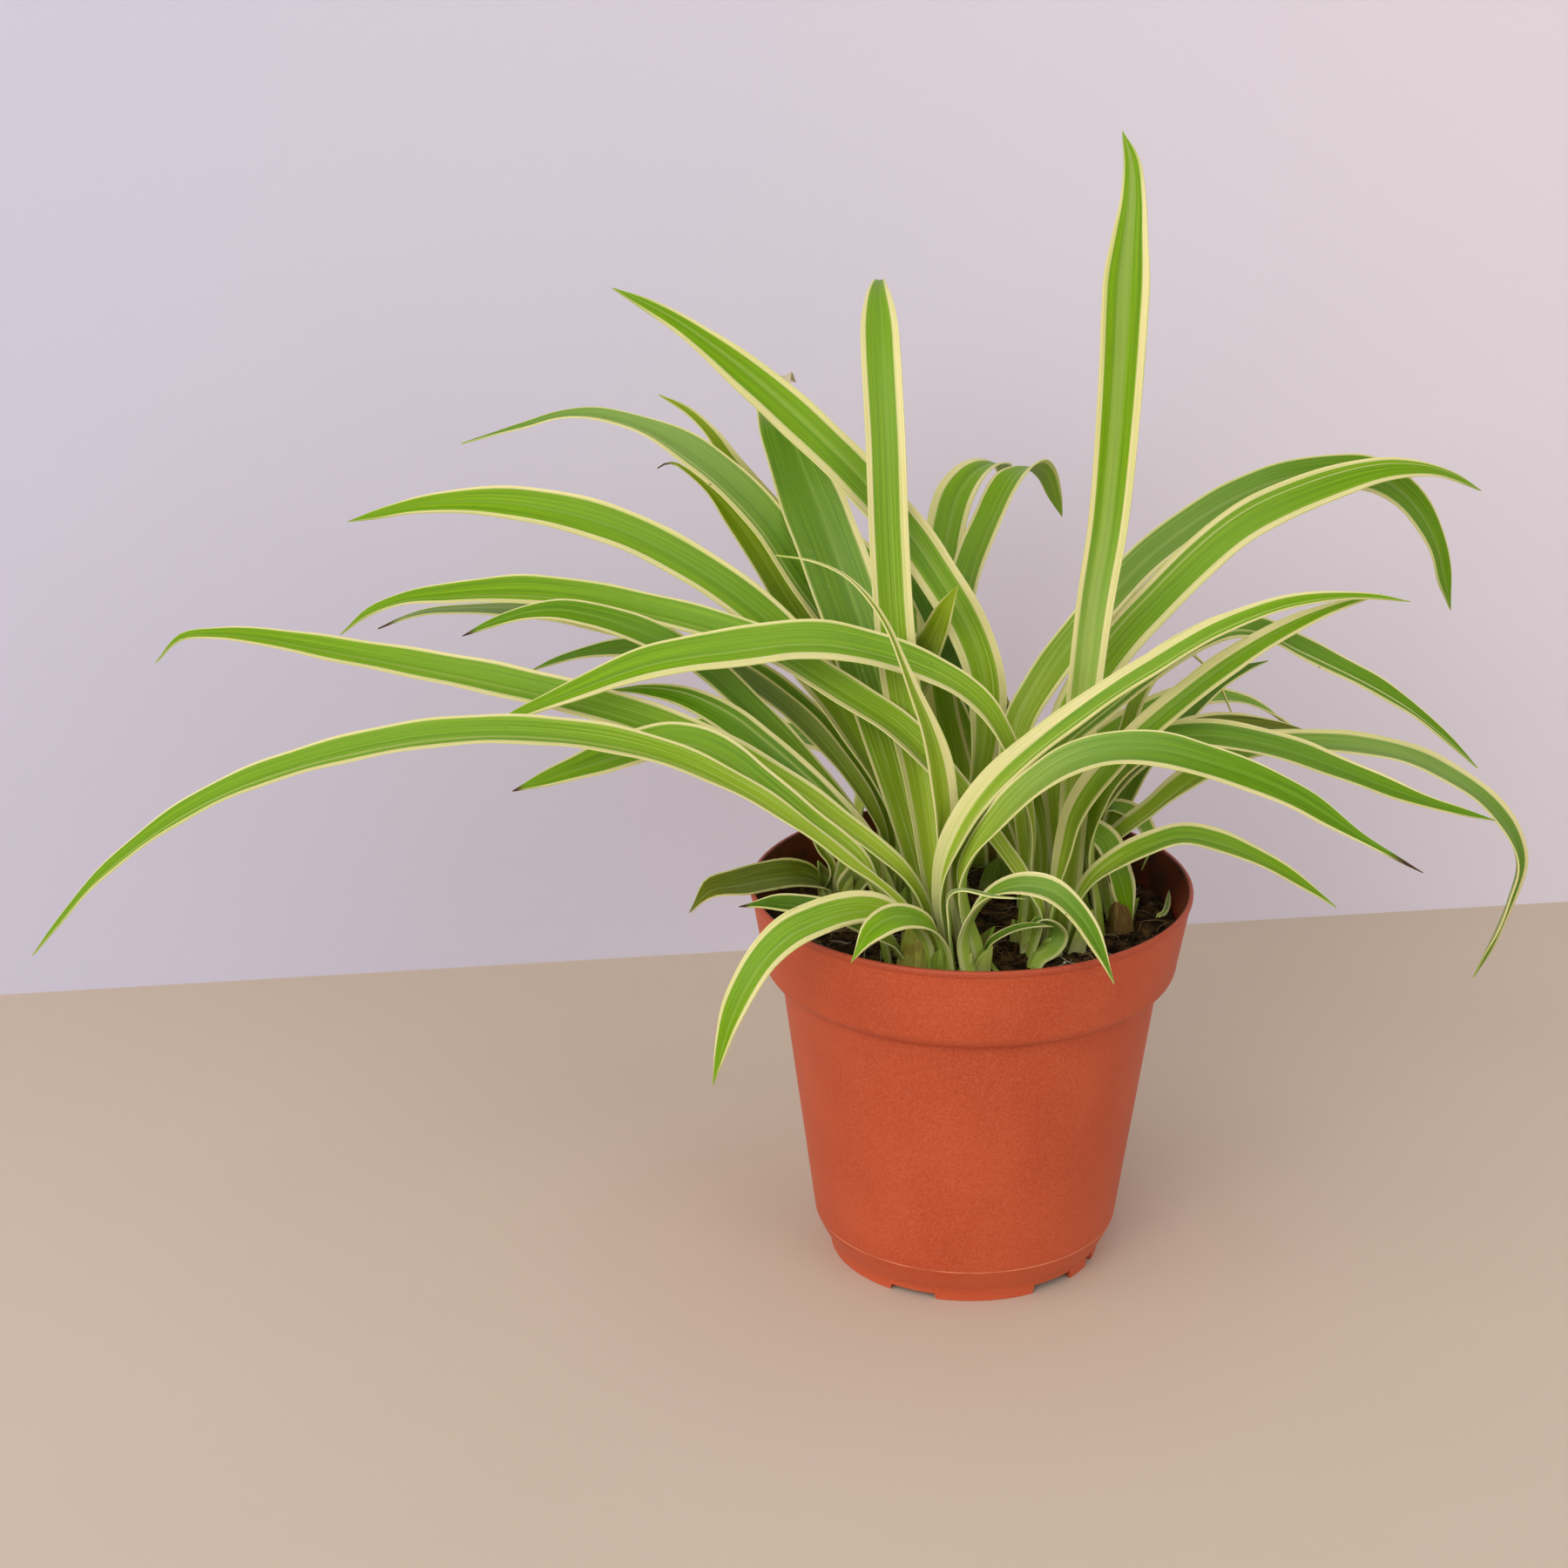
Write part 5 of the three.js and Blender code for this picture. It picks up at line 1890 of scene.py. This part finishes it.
@dataclass
class Crowns:
    """The clasping leaf bases round each crown, and the dry remains of old leaves on the soil."""

    soil: Soil
    crowns: tuple[tuple[str, float, float, float, int], ...] = (
        ("front", -6 * MM, -29 * MM, 11 * MM, 8),
        ("centre", -17 * MM, 9 * MM, 10 * MM, 7),
        ("middle_right", 21 * MM, -11 * MM, 9 * MM, 6),
        ("right", 34 * MM, 5 * MM, 9 * MM, 6),
        ("back", 5 * MM, 35 * MM, 11 * MM, 6),
        ("plantlet", -37 * MM, 11 * MM, 4.5 * MM, 4),
    )
    sunk: float = 2 * MM
    seed: int = 11

    def foot(self, x: float, y: float) -> Triple:
        """Return a place just under the soil's surface."""
        return (x, y, self.soil.surface(x, y) - self.sunk)

    def living(self) -> list[Piece]:
        """Make the rings of pale clasping bases, one ring for each crown.

        Returns:
            The clasping bases.
        """
        chance = random.Random(self.seed)
        finishes = [SheathFinish("sheath_pale"),
                    SheathFinish("sheath_green", (160, 180, 70), (100, 132, 24), (188, 188, 112)),
                    SheathFinish("sheath_straw", (196, 174, 112), (146, 118, 60), (170, 140, 84))]
        made = []
        for name, x, y, reach, count in self.crowns:
            start = chance.uniform(0, 360)
            for i in range(count):
                bearing = start + i / count * 360 + chance.uniform(-18, 18)
                angle = math.radians(bearing)
                foot = self.foot(x + reach * math.cos(angle), y + reach * math.sin(angle))
                finish = chance.choices(finishes, (5, 4, 2))[0]
                sheath = Sheath(f"sheath_{name}_{i + 1}", finish, phase=chance.uniform(0, 6),
                                clasp=0.15, foot=foot, bearing=bearing,
                                height=chance.uniform(8, 15) * MM, width=chance.uniform(6, 9) * MM,
                                lean=chance.uniform(0.05, 0.35), blunt=0.5)
                made.append(sheath.build())
        return made

    def remains(self) -> list[Piece]:
        """Make the broad front base, the dead stubs and the dry sheath on the soil.

        Returns:
            The pieces.
        """
        dead = SheathFinish("dead_stub", (74, 56, 34), (30, 20, 12), (40, 28, 16))
        dry = SheathFinish("dry_sheath", (150, 120, 64), (88, 64, 28), (110, 84, 44))
        pale = SheathFinish("crown_base", (176, 178, 74), (132, 142, 34), (178, 164, 92))
        shapes = [
            Sheath("front_base", pale, foot=self.foot(-13 * MM, -38 * MM), bearing=262,
                   height=22 * MM, width=15 * MM, lean=-0.1, blunt=0.35, clasp=0.1),
            Sheath("dead_stub", dead, foot=self.foot(22 * MM, 22 * MM), bearing=100,
                   height=34 * MM, width=3.4 * MM, lean=0.04, wave=0.5 * MM),
            Sheath("dead_stub_short", dead, foot=self.foot(27 * MM, 24 * MM), bearing=40,
                   height=15 * MM, width=3 * MM, lean=0.5, wave=0.5 * MM),
            Sheath("dry_sheath", dry, foot=self.foot(40 * MM, -2 * MM), bearing=250,
                   height=12 * MM, width=8 * MM, lean=0.2, blunt=0.4, wave=0.8 * MM),
        ]
        return [shape.build() for shape in shapes]

    def build(self) -> list[Piece]:
        """Make all the clasping bases and dry remains."""
        return self.living() + self.remains()


# ---- Floor, light and camera ---------------------------------------------------------------


@dataclass
class Studio:
    """The plain floor and backdrop, the soft light and the camera at the photograph's angle."""

    camera_place: Triple = (0.0, -0.8736, 0.4722)
    camera_aim: Triple = (-0.0508, 0.0, 0.1354)
    lens: float = 80.0
    sensor: float = 36.0
    nearest: float = 0.05
    wall_left: Pair = (-0.3153, 0.1454)
    wall_right: Pair = (0.2069, 0.2537)
    wall_height: float = 1.1
    wall_reach: float = 1.5
    floor_reach: float = 6.0
    lamp_aim: Triple = (0.0, 0.0, 0.12)
    lamps: tuple[tuple[str, Triple, float, float, Triple], ...] = (
        ("key", (-1.5, -3.6, 2.3), 3.0, 84.0, (1.0, 0.98, 0.95)),
        ("side", (-2.6, -1.2, 1.3), 2.2, 20.0, (0.98, 0.98, 1.0)),
        ("right", (2.4, -2.6, 1.6), 2.4, 22.0, (0.98, 0.98, 1.0)),
    )
    air_colour: tuple[float, ...] = (0.86, 0.86, 0.92, 1)
    air_strength: float = 0.78
    floor: PlainFinish = PlainFinish("floor", (206, 188, 167), (202, 184, 163))
    # the backdrop's lighter right-hand colour is painted light
    backdrop: PlainFinish = PlainFinish("backdrop", (203, 199, 215), (201, 197, 212),
                                        (220, 213, 220), one_sided=True)

    def aimed(self, name: str, data: bpy.types.ID, place: Triple, aim: Triple) -> Piece:
        """Put a camera or lamp at a place and point it at another.

        Args:
            name: The object's name.
            data: The camera or lamp.
            place: Where it stands.
            aim: Where it points.

        Returns:
            The object.
        """
        made = bpy.data.objects.new(name, data)
        bpy.context.scene.collection.objects.link(made)
        made.location = place
        look = Vector(aim) - Vector(place)
        made.rotation_euler = look.to_track_quat("-Z", "Y").to_euler()
        return made

    def camera(self) -> None:
        """Make the scene's camera."""
        data = bpy.data.cameras.new("camera")
        data.lens = self.lens
        data.sensor_width = self.sensor
        data.clip_start = self.nearest
        bpy.context.scene.camera = self.aimed("camera", data, self.camera_place, self.camera_aim)

    def surface(self, name: str, corners: list[Triple], finish: PlainFinish) -> None:
        """Make one flat surface of the studio from its four corners.

        Args:
            name: The surface's name.
            corners: The corners, in order round the surface.
            finish: The surface's finish.
        """
        deselect_all()
        bpy.ops.mesh.primitive_plane_add(size=1)
        plane = name_active(name)
        first, second, third, fourth = corners
        set_positions(plane.data, np.array([first, second, fourth, third]))
        plane.data.materials.append(finish.material())

    def light(self) -> None:
        """Make the air's even light and the soft lamps."""
        world = bpy.data.worlds.new("studio_air")
        world.use_nodes = True
        air = world.node_tree.nodes["Background"]
        air.inputs[0].default_value = self.air_colour
        air.inputs[1].default_value = self.air_strength
        bpy.context.scene.world = world
        for name, place, size, power, colour in self.lamps:
            data = bpy.data.lights.new(name, "AREA")
            data.shape = "DISK"
            data.size = size
            data.energy = power
            data.color = colour
            self.aimed(name, data, place, self.lamp_aim)

    def build(self) -> None:
        """Make the floor, backdrop, lights and camera."""
        self.camera()
        left, right = self.wall_left, self.wall_right
        slope = (right[1] - left[1]) / (right[0] - left[0])
        wall_from = (left[0] - self.wall_reach, left[1] - self.wall_reach * slope)
        wall_to = (right[0] + self.wall_reach, right[1] + self.wall_reach * slope)
        reach, top = self.floor_reach, self.wall_height
        self.surface("floor", [(-reach, -reach, 0), (reach, -reach, 0), (reach, reach, 0),
                               (-reach, reach, 0)], self.floor)
        self.surface("backdrop", [(*wall_from, 0), (*wall_to, 0), (*wall_to, top),
                                  (*wall_from, top)], self.backdrop)
        self.light()
        view = bpy.context.scene.view_settings
        view.view_transform = "Standard"
        view.look = "None"


def main() -> None:
    """Build the plant, its pot and its soil, and then the studio."""
    logging.basicConfig(level=logging.INFO, format="%(name)s: %(message)s")
    pot = Pot()
    pot.build()
    soil = Soil(pot.inside())
    soil.build()
    Plant().build()
    Crowns(soil).build()
    Studio().build()


if __name__ == "__main__":
    main()
